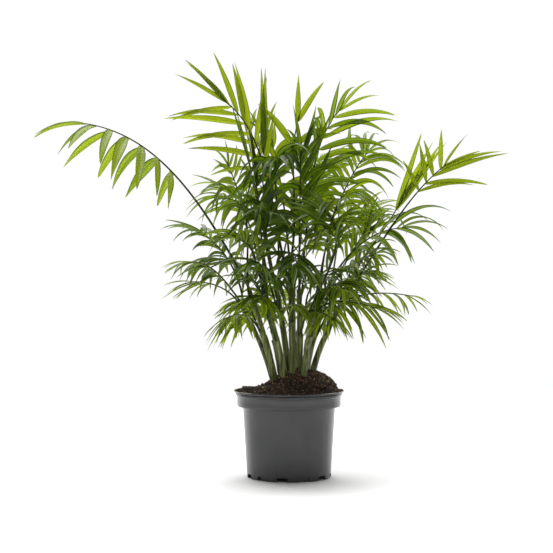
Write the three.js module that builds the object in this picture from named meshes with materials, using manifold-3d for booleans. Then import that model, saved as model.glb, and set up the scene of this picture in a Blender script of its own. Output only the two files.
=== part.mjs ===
// A potted parlour palm: a clump of twelve slim stems with forty-six feathered fronds,
// in a round grower's pot filled with a mound of potting soil.
// Millimetres, +Z up. The origin is the middle of the pot's flat underside, and -Y is the front.

import * as THREE from "three";
import { mergeVertices } from "three/addons/utils/BufferGeometryUtils.js";
import Module from "manifold-3d";

const wasm = await Module();
wasm.setup();

// Clearance between solids that touch on the real plant
const CLEAR = 0.3;

// Clearance between a stem's side and the foot of a midrib that grows there
const SEAT = 0.48;

// Edges shorter than this are closed up after solids are joined
const FINEST = 0.02;

// The pot: outer radii and heights
const POT_SIDES = 40;
const POT_WALL = 1.4;
const POT_HEIGHT = 94;
const LIP_RADIUS = 60;
const LIP_THICKNESS = 2.4;
const RIB_RADIUS = 58;
const COLLAR_RADIUS = 56.7;
const COLLAR_BOTTOM = 77;
const BODY_TOP_RADIUS = 50.4;
const BODY_FOOT_RADIUS = 45.8;
const FOOT_HEIGHT = 4.7;
const FOOT_WALL = 3.2;
const PAD_RADIUS = 16;
const FLOOR_TOP = FOOT_HEIGHT + POT_WALL;
const INNER_FOOT = BODY_FOOT_RADIUS - POT_WALL;
const INNER_BODY = BODY_TOP_RADIUS - POT_WALL;
const INNER_COLLAR = COLLAR_RADIUS - POT_WALL;

// Gaps round the pot's foot, every second one cut right through as a drain
const GAPS = 12;
const GAP_WIDTH = 11.6;
const GAP_DEPTH = 1.5;
const GAP_TURN = -9.5;

// The soil: a mound off the middle that dies away at the wall
const SOIL_EDGE = 91.5;
const MOUND_HEIGHT = 26;
const MOUND_X = 13;
const MOUND_Y = -2;
const MOUND_STRETCH = 1.15;
const MOUND_HALF = 30;
const SOIL_SIDES = 28;
const SOIL_RINGS = [54.7, 47, 39, 31, 23, 14, 6];
const SOCKET_DEPTH = 2;
const SOCKET_ROOM = 0.7;

// The stems: foot x and y, top x, y and z, and the foot's radius
const STEMS = {
  a: [-16, -12, -43, -16, 205, 4.4],
  b: [-6, -16, -24, -26, 190, 4.6],
  c: [-1, -4, -13, 0, 203, 4.0],
  d: [4, -15, 1, -21, 228, 4.2],
  e: [12, -9, 11, -9, 206, 3.6],
  f: [18, 0, 29, 2, 196, 3.8],
  g: [26, -7, 52, -6, 182, 4.0],
  h: [20, 13, 38, 28, 196, 3.6],
  i: [-9, 9, -27, 27, 205, 4.0],
  j: [6, 14, 4, 42, 212, 3.8],
  k: [-18, 2, -52, 16, 188, 3.6],
  l: [16, -21, 24, -48, 184, 3.8],
};
const STEM_TOP_RADIUS = 1.9;
const STEM_SIDES = 8;
const STEM_RINGS = [0, 0.04, 0.1, 0.3, 0.55, 0.8, 1];
const STEM_LEAN = 1.25;

// Fronds by age. rise and ease shape the midrib's bend, bare is the share without leaflets,
// open the leaflets' angle, hang and sag their droop, wide their width over their length,
// vee how far the two rows fold up, thick the midrib's radius at its foot. For all ages, roll
// turns a frond about its midrib, skew and shorter set its two rows apart, and fork and end
// are the angle and the length, as a share, of the last two leaflets.
const YOUNG = {
  rise: 0.45, ease: 0.3, bare: 0.5, open: 52, hang: 0, sag: 0.3, wide: 0.17, vee: 0.2, thick: 1.45,
  colour: 0x8fae2a,
};
const MIDDLE = {
  rise: 0.42, ease: 0.34, bare: 0.48, open: 56, hang: 0, sag: 1, wide: 0.15, vee: 0.2, thick: 1.3,
  colour: 0x4f7a26,
};
const OLD = {
  rise: 0.4, ease: 0.36, bare: 0.36, open: 52, hang: 0.5, sag: 1.1, wide: 0.13, vee: 0.15, thick: 1.15,
  colour: 0x3c5f2c,
};
const COMMON = { roll: 0, skew: 0, shorter: 1, fork: 15, end: 0.76 };

// How far leaflets differ from the rule: in degrees, and in shares of their droop and length
const UNEVEN_OPEN = 7;
const UNEVEN_SAG = 0.35;
const UNEVEN_LENGTH = 0.1;

// A frond: its stem, how far up that it grows, its tip, the midrib's pitch there in degrees,
// its age, its leaflets' length, the pairs of them, and what is its own
function frond(stem, at, tip, pitch, age, leaf, pairs, own = {}) {
  return { ...COMMON, ...age, stem, at, tip, pitch, leaf, pairs, ...own };
}

const FRONDS = [
  // The long fronds that stand out of the crown
  frond("a", 1, [-224, -48, 380], 4, YOUNG, 64, 6,
    { hang: 0.85, sag: 1, wide: 0.21, bare: 0.54, rise: 0.4, ease: 0.34,
      open: 65, skew: -16, vee: 0, end: 0.92 }),
  frond("d", 0.93, [-72, -30, 408], 36, YOUNG, 86, 7,
    { roll: 70, open: 42, skew: 15, fork: 8, shorter: 0.82, sag: 0.42, bare: 0.5, wide: 0.085 }),
  frond("c", 1, [-28, -34, 354], 90, YOUNG, 120, 0, { roll: 5, fork: 1.5, sag: 0, wide: 0.09, vee: 0 }),
  frond("d", 1, [11, -20, 390], 72, YOUNG, 66, 1,
    { roll: 80, open: 37, fork: 14, sag: 0.6, bare: 0.76, wide: 0.14 }),
  frond("e", 1, [58, 0, 404], 50, MIDDLE, 84, 8,
    { roll: 119, open: 50, fork: 12, shorter: 0.65, sag: 1.05, bare: 0.42, wide: 0.095, end: 0.6 }),
  frond("g", 1, [172, -10, 341], 38, YOUNG, 76, 4,
    { roll: 75, open: 47, skew: -12, shorter: 0.56, sag: 0.4, bare: 0.75, wide: 0.1, end: 0.58 }),
  frond("g", 0.94, [123, 22, 300], 77, YOUNG, 108, 1,
    { roll: 85, open: 5, fork: 4, sag: 0.1, bare: 0.93, wide: 0.14 }),
  frond("h", 1, [127, 0, 271], 0, MIDDLE, 72, 6, { roll: 40, sag: 1.6, open: 52, wide: 0.1 }),
  // The crown's sides
  frond("f", 0.95, [48, -76, 268], -5, MIDDLE, 64, 4, { sag: 1.4, wide: 0.14, roll: 30 }),
  frond("h", 0.95, [90, 40, 277], 60, MIDDLE, 46, 3, { roll: 60, open: 25, fork: 10, sag: 0.2 }),
  frond("h", 0.9, [92, 60, 362], 40, MIDDLE, 64, 6, { roll: 40, sag: 1.6, wide: 0.11 }),
  frond("i", 1, [-70, 50, 347], 60, MIDDLE, 44, 5, { roll: 75, open: 60, sag: 0.8, shorter: 0.8 }),
  frond("a", 0.93, [-70, -20, 302], 0, MIDDLE, 68, 5, { roll: 20, open: 66, sag: 2.2, wide: 0.11 }),
  frond("b", 1, [-18, -80, 282], -15, MIDDLE, 62, 5, { sag: 1.6, wide: 0.15, roll: -20 }),
  frond("b", 0.93, [-56, -56, 256], -10, MIDDLE, 60, 5, { sag: 1.3, wide: 0.14 }),
  frond("g", 0.88, [92, -30, 240], -5, MIDDLE, 46, 5, { sag: 1.6, roll: 30 }),
  // The crown's front
  frond("d", 0.88, [7, -105, 227], -50, MIDDLE, 48, 4, { hang: 0.3, wide: 0.19, roll: -15 }),
  frond("c", 0.94, [-12, -88, 338], -20, MIDDLE, 62, 4, { sag: 2.1, wide: 0.18, roll: 25 }),
  frond("e", 0.94, [12, -52, 350], 62, MIDDLE, 72, 5,
    { sag: 0.8, open: 30, bare: 0.4, wide: 0.13, roll: -30 }),
  frond("f", 1, [58, -84, 298], 0, MIDDLE, 58, 5, { sag: 2, wide: 0.16, roll: 25 }),
  frond("c", 0.88, [-36, -66, 322], 66, MIDDLE, 76, 4,
    { sag: 0.7, open: 28, bare: 0.36, wide: 0.13, roll: -40 }),
  frond("l", 0.97, [34, -84, 288], 50, MIDDLE, 66, 4,
    { roll: 50, sag: 1, open: 34, bare: 0.36, wide: 0.15 }),
  frond("b", 0.87, [-30, -100, 228], -15, MIDDLE, 52, 4, { roll: -30, sag: 1.7, hang: 0.4, wide: 0.18 }),
  // The low, old fronds
  frond("g", 0.8, [136, 10, 196], -14, OLD, 38, 4, { hang: 0.6, sag: 1.2, bare: 0.6 }),
  frond("l", 0.88, [92, -40, 184], -20, OLD, 54, 6, { roll: 35, open: 50, wide: 0.11 }),
  frond("a", 0.55, [-66, -44, 174], -25, OLD, 46, 5, { roll: 25, open: 62, hang: 0.75 }),
  frond("k", 0.88, [-108, 10, 212], -3, OLD, 44, 4, { bare: 0.72, open: 34, wide: 0.11, sag: 0.7 }),
  frond("k", 1, [-112, 24, 234], -6, OLD, 46, 5),
  frond("e", 0.45, [44, -88, 172], -25, OLD, 40, 5, { bare: 0.5 }),
  frond("b", 0.5, [-30, -82, 194], -30, OLD, 46, 4, { roll: -20, wide: 0.18, bare: 0.5 }),
  frond("f", 0.5, [66, 26, 202], -10, OLD, 44, 5, { roll: 20 }),
  frond("a", 0.5, [-56, 16, 190], -15, OLD, 40, 5, { roll: -20 }),
  // The crown's back
  frond("j", 1, [-20, 90, 370], 50, YOUNG, 62, 5, { roll: 20 }),
  frond("j", 0.93, [40, 120, 350], 25, MIDDLE, 62, 5),
  frond("i", 0.93, [-70, 110, 320], 10, MIDDLE, 60, 5),
  frond("h", 0.84, [95, 108, 292], 15, MIDDLE, 60, 5),
  frond("i", 0.87, [-84, 70, 238], -5, MIDDLE, 50, 5, { hang: 0.4 }),
  frond("j", 0.87, [5, 130, 290], -5, MIDDLE, 56, 5),
  frond("f", 0.6, [56, -76, 204], -30, MIDDLE, 52, 4, { roll: 25, sag: 1.6, wide: 0.18, hang: 0.4 }),
  frond("h", 0.5, [92, 70, 222], -10, MIDDLE, 48, 5, { hang: 0.6 }),
  frond("j", 0.4, [-20, 76, 204], -20, OLD, 50, 5, { hang: 0.6, wide: 0.17 }),
  frond("j", 0.35, [36, 70, 188], -20, OLD, 48, 5, { hang: 0.6, wide: 0.17 }),
  frond("i", 0.4, [-54, 58, 190], -15, OLD, 48, 5, { hang: 0.6, wide: 0.17 }),
  frond("k", 0.94, [-110, 60, 270], 5, MIDDLE, 50, 4),
  frond("i", 0.72, [-52, 66, 398], 62, YOUNG, 60, 5, { roll: 40 }),
  frond("c", 0.8, [-43, -30, 339], 68, MIDDLE, 94, 0, { fork: 2, sag: 0.1, wide: 0.09, vee: 0 }),
];
const RIB_TIP_RADIUS = 0.5;
const RIB_STEPS = 8;
// Turns a midrib's three-sided section so that one corner is its keel, towards the stem
const RIB_TURN = Math.PI / 6;
const LEAF_STATIONS = [0.3, 0.68];
const LEAF_STEPS = 8;
const LEAF_THICKNESS = 0.016;
const LAST_ROOT = 0.96;
// The droop of the last two leaflets, as a share of the others'
const LAST_SAG = 0.7;
// A leaflet's outline: how near to its foot it is widest, and how pointed it is
const BLADE_PEAK = 0.66;
const BLADE_POINT = 1.1;
const UP = new THREE.Vector3(0, 0, 1);

function radians(degrees) {
  return (degrees * Math.PI) / 180;
}

function plus(a, b, share = 1) {
  return a.clone().addScaledVector(b, share);
}

// Solids

function toManifold(geometry) {
  const bare = geometry.clone();
  bare.deleteAttribute("normal");
  bare.deleteAttribute("uv");
  const merged = mergeVertices(bare, 1e-4);
  const vertProperties = new Float32Array(merged.attributes.position.array);
  const corners = Array.from(merged.index.array);
  const triVerts = [];
  for (let i = 0; i < corners.length; i += 3) {
    const [a, b, c] = corners.slice(i, i + 3);
    if (a !== b && b !== c && c !== a) triVerts.push(a, b, c);
  }
  const mesh = new wasm.Mesh({ numProp: 3, vertProperties, triVerts: new Uint32Array(triVerts) });
  return new wasm.Manifold(mesh);
}

function toGeometry(solid) {
  const mesh = solid.getMesh();
  const geometry = new THREE.BufferGeometry();
  geometry.setAttribute("position", new THREE.BufferAttribute(new Float32Array(mesh.vertProperties), 3));
  geometry.setIndex(Array.from(mesh.triVerts));
  geometry.computeVertexNormals();
  return geometry;
}

// The largest body of a solid, without loose scraps and slivers
function mainBody(solid) {
  const bodies = solid.decompose();
  return bodies.reduce((best, body) => (body.volume() > best.volume() ? body : best)).simplify(FINEST);
}

// Whether four corners of a skin fold outwards along the line from the first to the third, so that
// a twisted blade's faces never pass through each other
function foldsOut(a, b, c, d) {
  const outward = c.clone().sub(a).cross(d.clone().sub(b));
  return a.clone().add(c).sub(b).sub(d).dot(outward) > 0;
}

// A closed skin through rings of points; an end ring of one point is a tip
function skin(rings) {
  const corners = [];
  const starts = [];
  for (const ring of rings) {
    starts.push(corners.length / 3);
    for (const point of ring) corners.push(point.x, point.y, point.z);
  }
  const faces = [];
  for (let k = 0; k + 1 < rings.length; k += 1) {
    const [low, high] = [rings[k], rings[k + 1]];
    const sides = Math.max(low.length, high.length);
    for (let i = 0; i < sides; i += 1) {
      const j = (i + 1) % sides;
      const [a, b] = [starts[k] + i, starts[k] + j];
      const [c, d] = [starts[k + 1] + j, starts[k + 1] + i];
      if (low.length === 1) faces.push(starts[k], c, d);
      else if (high.length === 1) faces.push(a, b, starts[k + 1]);
      else if (foldsOut(low[i], low[j], high[j], high[i])) faces.push(a, b, c, a, c, d);
      else faces.push(a, b, d, b, c, d);
    }
  }
  for (let i = 1; i + 1 < rings[0].length; i += 1) faces.push(starts[0], starts[0] + i + 1, starts[0] + i);
  const end = starts[rings.length - 1];
  for (let i = 1; i + 1 < rings[rings.length - 1].length; i += 1) faces.push(end, end + i, end + i + 1);
  const geometry = new THREE.BufferGeometry();
  geometry.setAttribute("position", new THREE.Float32BufferAttribute(corners, 3));
  geometry.setIndex(faces);
  return geometry;
}

function ring(centre, side, up, radius, sides, turn = 0) {
  const points = [];
  for (let i = 0; i < sides; i += 1) {
    const angle = (2 * Math.PI * i) / sides + turn;
    points.push(plus(plus(centre, side, radius * Math.cos(angle)), up, radius * Math.sin(angle)));
  }
  return points;
}

// The pot

function potProfile() {
  return [
    [0, 0],
    [PAD_RADIUS, 0],
    [PAD_RADIUS, FOOT_HEIGHT],
    [BODY_FOOT_RADIUS - FOOT_WALL, FOOT_HEIGHT],
    [BODY_FOOT_RADIUS - FOOT_WALL, 0],
    [BODY_FOOT_RADIUS, 0],
    [BODY_FOOT_RADIUS, FOOT_HEIGHT],
    [BODY_TOP_RADIUS, COLLAR_BOTTOM - 1],
    [COLLAR_RADIUS - 0.5, COLLAR_BOTTOM],
    [COLLAR_RADIUS, COLLAR_BOTTOM + 1],
    [COLLAR_RADIUS, POT_HEIGHT - 6],
    [RIB_RADIUS, POT_HEIGHT - 5],
    [RIB_RADIUS, POT_HEIGHT - LIP_THICKNESS],
    [LIP_RADIUS, POT_HEIGHT - LIP_THICKNESS + 0.6],
    [LIP_RADIUS, POT_HEIGHT],
    [LIP_RADIUS - POT_WALL, POT_HEIGHT],
    [INNER_COLLAR, POT_HEIGHT - 4],
    [INNER_COLLAR, COLLAR_BOTTOM + POT_WALL],
    [INNER_BODY, COLLAR_BOTTOM],
    [INNER_FOOT, FLOOR_TOP],
    [0, FLOOR_TOP],
  ];
}

function lathe(profile, sides) {
  const points = profile.map(([radius, height]) => new THREE.Vector2(radius, height));
  const geometry = new THREE.LatheGeometry(points, sides);
  geometry.rotateX(Math.PI / 2);
  return geometry;
}

function makePot() {
  let solid = toManifold(lathe(potProfile(), POT_SIDES));
  for (let i = 0; i < GAPS; i += 1) {
    const through = i % 2 === 0;
    const depth = through ? FOOT_WALL + 2 : GAP_DEPTH;
    const gap = new THREE.BoxGeometry(GAP_WIDTH, depth + 1, 2 * FOOT_HEIGHT - 0.4);
    gap.translate(0, -(BODY_FOOT_RADIUS - depth / 2 + 0.5), 0);
    gap.rotateZ(radians(GAP_TURN + (360 * i) / GAPS));
    solid = solid.subtract(toManifold(gap));
  }
  return solid;
}

// The soil

function soilHeight(x, y) {
  const away = Math.hypot((x - MOUND_X) / MOUND_STRETCH, y - MOUND_Y) / MOUND_HALF;
  const wall = 1 - (Math.hypot(x, y) / INNER_COLLAR) ** 8;
  return SOIL_EDGE + MOUND_HEIGHT * Math.exp(-Math.LN2 * away ** 3) * Math.max(0, wall);
}

function makeSoil() {
  const profile = [
    [0, FLOOR_TOP + CLEAR],
    [INNER_FOOT - CLEAR - 0.1, FLOOR_TOP + CLEAR],
    [INNER_BODY - CLEAR - 0.1, COLLAR_BOTTOM + CLEAR],
    [INNER_COLLAR - CLEAR - 0.1, COLLAR_BOTTOM + POT_WALL + 2 * CLEAR],
    [INNER_COLLAR - CLEAR - 0.1, SOIL_EDGE - 3],
    ...SOIL_RINGS.map((radius) => [radius, SOIL_EDGE]),
    [0, SOIL_EDGE],
  ];
  const geometry = lathe(profile, SOIL_SIDES);
  const place = geometry.attributes.position;
  for (let i = 0; i < place.count; i += 1) {
    if (place.getZ(i) > SOIL_EDGE - 0.01) place.setZ(i, soilHeight(place.getX(i), place.getY(i)));
  }
  let solid = toManifold(geometry);
  for (const [x, y, , , , radius] of Object.values(STEMS)) {
    const socket = new THREE.CylinderGeometry(radius + SOCKET_ROOM, radius + SOCKET_ROOM, 40, 8);
    socket.rotateX(Math.PI / 2);
    socket.translate(x, y, soilHeight(x, y) - SOCKET_DEPTH - CLEAR + 20);
    solid = solid.subtract(toManifold(socket));
  }
  return mainBody(solid);
}

// The stems

function stemPoint(name, share) {
  const [footX, footY, topX, topY, topZ] = STEMS[name];
  const footZ = soilHeight(footX, footY) - SOCKET_DEPTH;
  const lean = Math.max(0, share) ** STEM_LEAN;
  const x = footX + (topX - footX) * lean;
  const y = footY + (topY - footY) * lean;
  return new THREE.Vector3(x, y, footZ + (topZ - footZ) * share);
}

function stemRadius(name, share) {
  const foot = STEMS[name][5];
  const narrowing = 1 - 0.2 * Math.max(0, 1 - share / 0.07);
  return (STEM_TOP_RADIUS + (foot - STEM_TOP_RADIUS) * (1 - share) ** 1.3) * narrowing;
}

function makeStem(name) {
  const rings = STEM_RINGS.map((share) => {
    const side = new THREE.Vector3(1, 0, 0);
    const up = new THREE.Vector3(0, 1, 0);
    return ring(stemPoint(name, share), side, up, stemRadius(name, share), STEM_SIDES);
  });
  return toManifold(skin(rings));
}

// The midribs

function midrib(row, swing, sway) {
  const start = stemPoint(row.stem, row.at);
  const ahead = start.clone().sub(stemPoint(row.stem, row.at - 0.04)).normalize();
  const tip = new THREE.Vector3(...row.tip);
  const out = new THREE.Vector3(tip.x - start.x, tip.y - start.y, 0).normalize();
  out.applyAxisAngle(UP, radians(swing));
  const pitch = radians(row.pitch);
  const end = plus(out.clone().multiplyScalar(Math.cos(pitch)), UP, Math.sin(pitch));
  if (row.at < 1) start.addScaledVector(out, stemRadius(row.stem, row.at) + row.thick + SEAT);
  else start.addScaledVector(ahead, CLEAR);
  const heading = plus(ahead, out, 0.2).normalize();
  const length = tip.distanceTo(start);
  const aside = UP.clone().cross(out).multiplyScalar(sway);
  const first = plus(start, heading, row.rise * length).add(aside);
  const second = plus(tip, end, -row.ease * length).add(aside);
  return new THREE.CubicBezierCurve3(start, first, second, tip);
}

function ribRadius(row, share) {
  return row.thick * (1 - share) + RIB_TIP_RADIUS * share;
}

// How far a line of points with radii stays from another one
function clearance(points, radii, other, skipped) {
  let best = Infinity;
  const nearest = new THREE.Vector3();
  const line = new THREE.Line3();
  for (let i = skipped; i < points.length; i += 1) {
    for (let j = 0; j + 1 < other.points.length; j += 1) {
      line.set(other.points[j], other.points[j + 1]);
      const share = line.closestPointToPointParameter(points[i], true);
      line.at(share, nearest);
      const radius = radii[i] + other.radii[j] * (1 - share) + other.radii[j + 1] * share;
      best = Math.min(best, points[i].distanceTo(nearest) - radius);
    }
  }
  return best;
}

// Sideways bends that a midrib tries, the smallest first
function bends() {
  const tries = [[0, 0]];
  for (const lean of [6, -8]) {
    for (let step = 1; step <= 8; step += 1) {
      tries.push([lean * step, 3 * step], [-lean * step, -3 * step]);
    }
  }
  return tries;
}

// Every frond's midrib, bent aside where it would touch a stem or an earlier midrib
function growMidribs() {
  const placed = Object.keys(STEMS).map((name) => {
    const shares = Array.from({ length: 17 }, (_, i) => i / 16);
    return {
      name,
      points: shares.map((share) => stemPoint(name, share)),
      radii: shares.map((share) => stemRadius(name, share)),
    };
  });
  const shares = Array.from({ length: 25 }, (_, i) => i / 24);
  return FRONDS.map((row, index) => {
    const radii = shares.map((share) => ribRadius(row, share));
    let best = { gap: -Infinity };
    for (const [swing, sway] of bends()) {
      const curve = midrib(row, swing, sway);
      const points = shares.map((share) => curve.getPoint(share));
      const gap = Math.min(...placed.map((other) => {
        return clearance(points, radii, other, other.name === row.stem && row.at >= 1 ? 2 : 0);
      }));
      if (gap > best.gap) best = { gap, curve, points };
      if (gap > 0.35) break;
    }
    placed.push({ points: best.points, radii });
    return { row, curve: best.curve, index };
  });
}

function makeRib({ row, curve }) {
  const rings = [];
  for (let k = 0; k <= RIB_STEPS; k += 1) {
    const share = k / RIB_STEPS;
    const along = curve.getTangent(share);
    const side = new THREE.Vector3(row.tip[0] - curve.v0.x, row.tip[1] - curve.v0.y, 0).cross(UP).normalize();
    side.addScaledVector(along, -side.dot(along)).normalize();
    // The foot of a midrib that ends a stem lies level, like the stem's top
    const level = row.at === 1 && k === 0;
    const across = level ? UP.clone().cross(side) : along.cross(side);
    rings.push(ring(curve.getPoint(share), side, across, ribRadius(row, share), 3, RIB_TURN));
  }
  return toManifold(skin(rings));
}

// The leaflets

// A point on the midrib's straight steps, so that a leaflet's root is well inside them
function ribCentre(curve, share) {
  const step = Math.min(RIB_STEPS - 1, Math.floor(share * RIB_STEPS));
  const low = curve.getPoint(step / RIB_STEPS);
  const high = curve.getPoint((step + 1) / RIB_STEPS);
  return low.lerp(high, share * RIB_STEPS - step);
}

// A steady value from -1 to 1 that differs from leaflet to leaflet
function unevenness(index, pair, hand, kind) {
  return Math.sin(13 * index + 4.1 * pair + 1.7 * hand + 2.4 * kind);
}

// Where a leaflet starts, which way it sets off, and how long it is
function leafletSetOff({ row, curve, index }, pair, hand) {
  const last = pair === row.pairs;
  const share = row.pairs ? pair / row.pairs : 1;
  const along = Math.min(LAST_ROOT, row.bare + (1 - row.bare) * share ** 0.94);
  const ahead = curve.getTangent(along);
  const side = new THREE.Vector3(row.tip[0] - curve.v0.x, row.tip[1] - curve.v0.y, 0).cross(UP).normalize();
  side.addScaledVector(ahead, -side.dot(ahead)).normalize();
  side.applyAxisAngle(ahead, radians(row.roll));
  const up = side.clone().cross(ahead);
  let size = row.leaf * (0.55 + 0.5 * Math.sin(Math.PI * (0.2 + 0.66 * share)));
  size *= 1 + UNEVEN_LENGTH * unevenness(index, pair, hand, 1);
  let length = size * (hand < 0 ? row.shorter : 1);
  let opened = row.open * (1.05 - 0.5 * share ** 1.4) + hand * row.skew;
  opened += UNEVEN_OPEN * unevenness(index, pair, hand, 0);
  let sag = row.sag * (1.25 - 0.5 * share) * (1 + UNEVEN_SAG * unevenness(index, pair, hand, 2));
  if (last) {
    size = row.leaf * row.end;
    length = size;
    opened = row.fork;
    sag = row.sag * LAST_SAG;
  }
  const root = ribCentre(curve, along - (hand > 0 && !last ? 0.012 : 0));
  const angle = radians(opened);
  const way = ahead.clone().multiplyScalar(Math.cos(angle)).addScaledVector(side, hand * Math.sin(angle));
  return { root, way: way.normalize(), up, size, length, sag, hang: row.hang * (1 - 0.85 * share ** 3) };
}

// A leaflet as a bent blade with a keel, from a point inside the midrib to its tip
function leafletSkin(row, start, lift, hang, scale) {
  const way = plus(start.way, start.up, row.vee + lift).normalize();
  way.addScaledVector(UP, -(start.hang + hang)).normalize();
  const across = way.clone().cross(start.up).normalize();
  const step = (start.length * scale) / LEAF_STEPS;
  const rings = [[start.root.clone()]];
  let centre = start.root.clone();
  let station = 0;
  for (let k = 0; k < LEAF_STEPS; k += 1) {
    const share = k / LEAF_STEPS;
    const ahead = plus(way, UP, -start.sag * share ** 1.3).normalize();
    const next = LEAF_STATIONS[station];
    if (station < LEAF_STATIONS.length && next <= (k + 1) / LEAF_STEPS) {
      const middle = plus(centre, ahead, (next - share) * start.length * scale);
      const bulge = Math.sin(Math.PI * next ** BLADE_PEAK) ** BLADE_POINT;
      const half = 0.5 * row.wide * start.size * scale * bulge;
      const edge = plus(across, ahead, -across.dot(ahead)).normalize();
      const keel = ahead.clone().cross(edge).normalize();
      const thick = LEAF_THICKNESS * start.length * (1 - 0.35 * station);
      rings.push([plus(middle, edge, half), plus(middle, keel, thick), plus(middle, edge, -half)]);
      station += 1;
    }
    centre = plus(centre, ahead, step);
  }
  rings.push([centre]);
  return skin(rings);
}

// What a leaflet tries before it is left out: lift, extra hang and scale
const LEAF_TRIES = [[0, 0, 1], [0.25, 0, 1], [0, 0.3, 1], [0.5, 0, 0.85], [-0.3, 0.1, 0.85], [0, 0, 0.6]];

function boxesTouch(a, b) {
  for (let axis = 0; axis < 3; axis += 1) {
    if (a.min[axis] - CLEAR > b.max[axis] || b.min[axis] - CLEAR > a.max[axis]) return false;
  }
  return true;
}

function isFree(solid, owner, obstacles) {
  const box = solid.boundingBox();
  return obstacles.every((other) => {
    if (other.owner === owner || !boxesTouch(box, other.box)) return true;
    return solid.minGap(other.solid, CLEAR) >= CLEAR * 0.9;
  });
}

function makeFronds(stems) {
  const grown = growMidribs();
  const obstacles = stems.map((solid) => ({ solid, box: solid.boundingBox(), owner: -1 }));
  const parts = grown.map((one) => [makeRib(one)]);
  parts.forEach(([solid], owner) => obstacles.push({ solid, box: solid.boundingBox(), owner }));
  let leftOut = 0;
  grown.forEach((one, owner) => {
    for (let pair = 0; pair <= one.row.pairs; pair += 1) {
      for (const hand of [-1, 1]) {
        const start = leafletSetOff(one, pair, hand);
        let found = null;
        for (const [lift, hang, scale] of LEAF_TRIES) {
          const solid = toManifold(leafletSkin(one.row, start, lift, hang, scale));
          if (isFree(solid, owner, obstacles)) {
            found = solid;
            break;
          }
        }
        if (found) {
          parts[owner].push(found);
          obstacles.push({ solid: found, box: found.boundingBox(), owner });
        } else {
          leftOut += 1;
        }
      }
    }
  });
  return { solids: parts.map((pieces) => mainBody(wasm.Manifold.union(pieces))), leftOut };
}

// Materials and nodes

function material(colour, roughness) {
  return new THREE.MeshStandardMaterial({ color: colour, roughness, metalness: 0 });
}

const POT_GREY = 0x4b4c4e;
const SOIL_BROWN = 0x2b241d;
const STEM_GREEN = 0x6f8657;

function addNode(group, name, solid, look) {
  const mesh = new THREE.Mesh(toGeometry(solid), look);
  mesh.name = name;
  group.add(mesh);
}

function numbered(word, index) {
  return `${word}_${String(index + 1).padStart(2, "0")}`;
}

const palm = new THREE.Group();
addNode(palm, "pot", makePot(), material(POT_GREY, 0.45));
addNode(palm, "soil", makeSoil(), material(SOIL_BROWN, 0.95));
const stems = Object.keys(STEMS).map((name) => makeStem(name));
stems.forEach((solid, index) => addNode(palm, numbered("stem", index), solid, material(STEM_GREEN, 0.6)));
const fronds = makeFronds(stems);
fronds.solids.forEach((solid, index) => {
  addNode(palm, numbered("frond", index), solid, material(FRONDS[index].colour, 0.5));
});

export default palm;
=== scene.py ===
# %% [markdown]
# # A potted parlour palm
#
# The real object is a young parlour palm: a clump of slim green stems with arching feathered fronds,
# standing in a dark grey grower's pot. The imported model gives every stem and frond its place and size.
# This script grows the same plant again from the same rule, with pleated leaflets, sheathed stems,
# crumbly soil and a smooth pot, because the plain solids are only right in outline.

import itertools
import math
import random

import bpy
import numpy as np
from mathutils import Matrix, Vector, noise
from mathutils.bvhtree import BVHTree


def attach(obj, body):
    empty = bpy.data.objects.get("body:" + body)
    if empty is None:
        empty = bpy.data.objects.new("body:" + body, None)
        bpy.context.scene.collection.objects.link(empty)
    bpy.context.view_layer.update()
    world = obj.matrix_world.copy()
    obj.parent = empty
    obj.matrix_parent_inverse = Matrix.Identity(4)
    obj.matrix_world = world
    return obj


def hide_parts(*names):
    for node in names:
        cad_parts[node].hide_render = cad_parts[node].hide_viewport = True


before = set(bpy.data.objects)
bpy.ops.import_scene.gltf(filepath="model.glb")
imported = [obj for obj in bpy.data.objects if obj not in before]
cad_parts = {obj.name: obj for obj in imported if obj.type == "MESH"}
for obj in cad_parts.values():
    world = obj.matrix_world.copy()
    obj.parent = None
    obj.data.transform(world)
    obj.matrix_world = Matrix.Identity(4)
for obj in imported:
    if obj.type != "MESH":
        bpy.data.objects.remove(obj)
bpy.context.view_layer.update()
MM = 0.001
UP = Vector((0, 0, 1))

# %% [markdown]
# ## The camera
#
# The photograph was taken level with the middle of the plant, from about a metre and a half away.
# A camera could be set by eye, but the pot's own size and the level horizon give its distance, height
# and lens, so those are set as numbers.

# %% Place the camera
CAMERA_PLACE = (-0.0136, -1.45, 0.2178)
CAMERA_LENS = 86.6
SENSOR_WIDTH = 36
LEVEL = (math.radians(90), 0, 0)


def into_scene(name, data):
    """A new object in the scene from its mesh, camera or light."""
    thing = bpy.data.objects.new(name, data)
    bpy.context.scene.collection.objects.link(thing)
    return thing


camera_data = bpy.data.cameras.new("camera")
camera_data.lens = CAMERA_LENS
camera_data.sensor_width = SENSOR_WIDTH
camera = into_scene("camera", camera_data)
camera.location = CAMERA_PLACE
camera.rotation_euler = LEVEL
bpy.context.scene.camera = camera
print("camera", CAMERA_PLACE, "lens", CAMERA_LENS)

# %% [markdown]
# ## Gathering many small shapes
#
# A plant is hundreds of small shapes. Making an object of each would be slow to render and export, so
# each kind is gathered into one batch of corners and faces, which becomes a single piece at the end.


# %% A batch of shapes
class Batch:
    """Corners in millimetres and faces of many small shapes, with a finish number for each face."""

    def __init__(self):
        self.corners = []
        self.faces = []
        self.finish_numbers = []

    def add(self, corners, faces, finish_number=0):
        first = len(self.corners)
        self.corners.extend(corners)
        self.faces.extend([first + corner for corner in face] for face in faces)
        self.finish_numbers.extend([finish_number] * len(faces))


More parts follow.
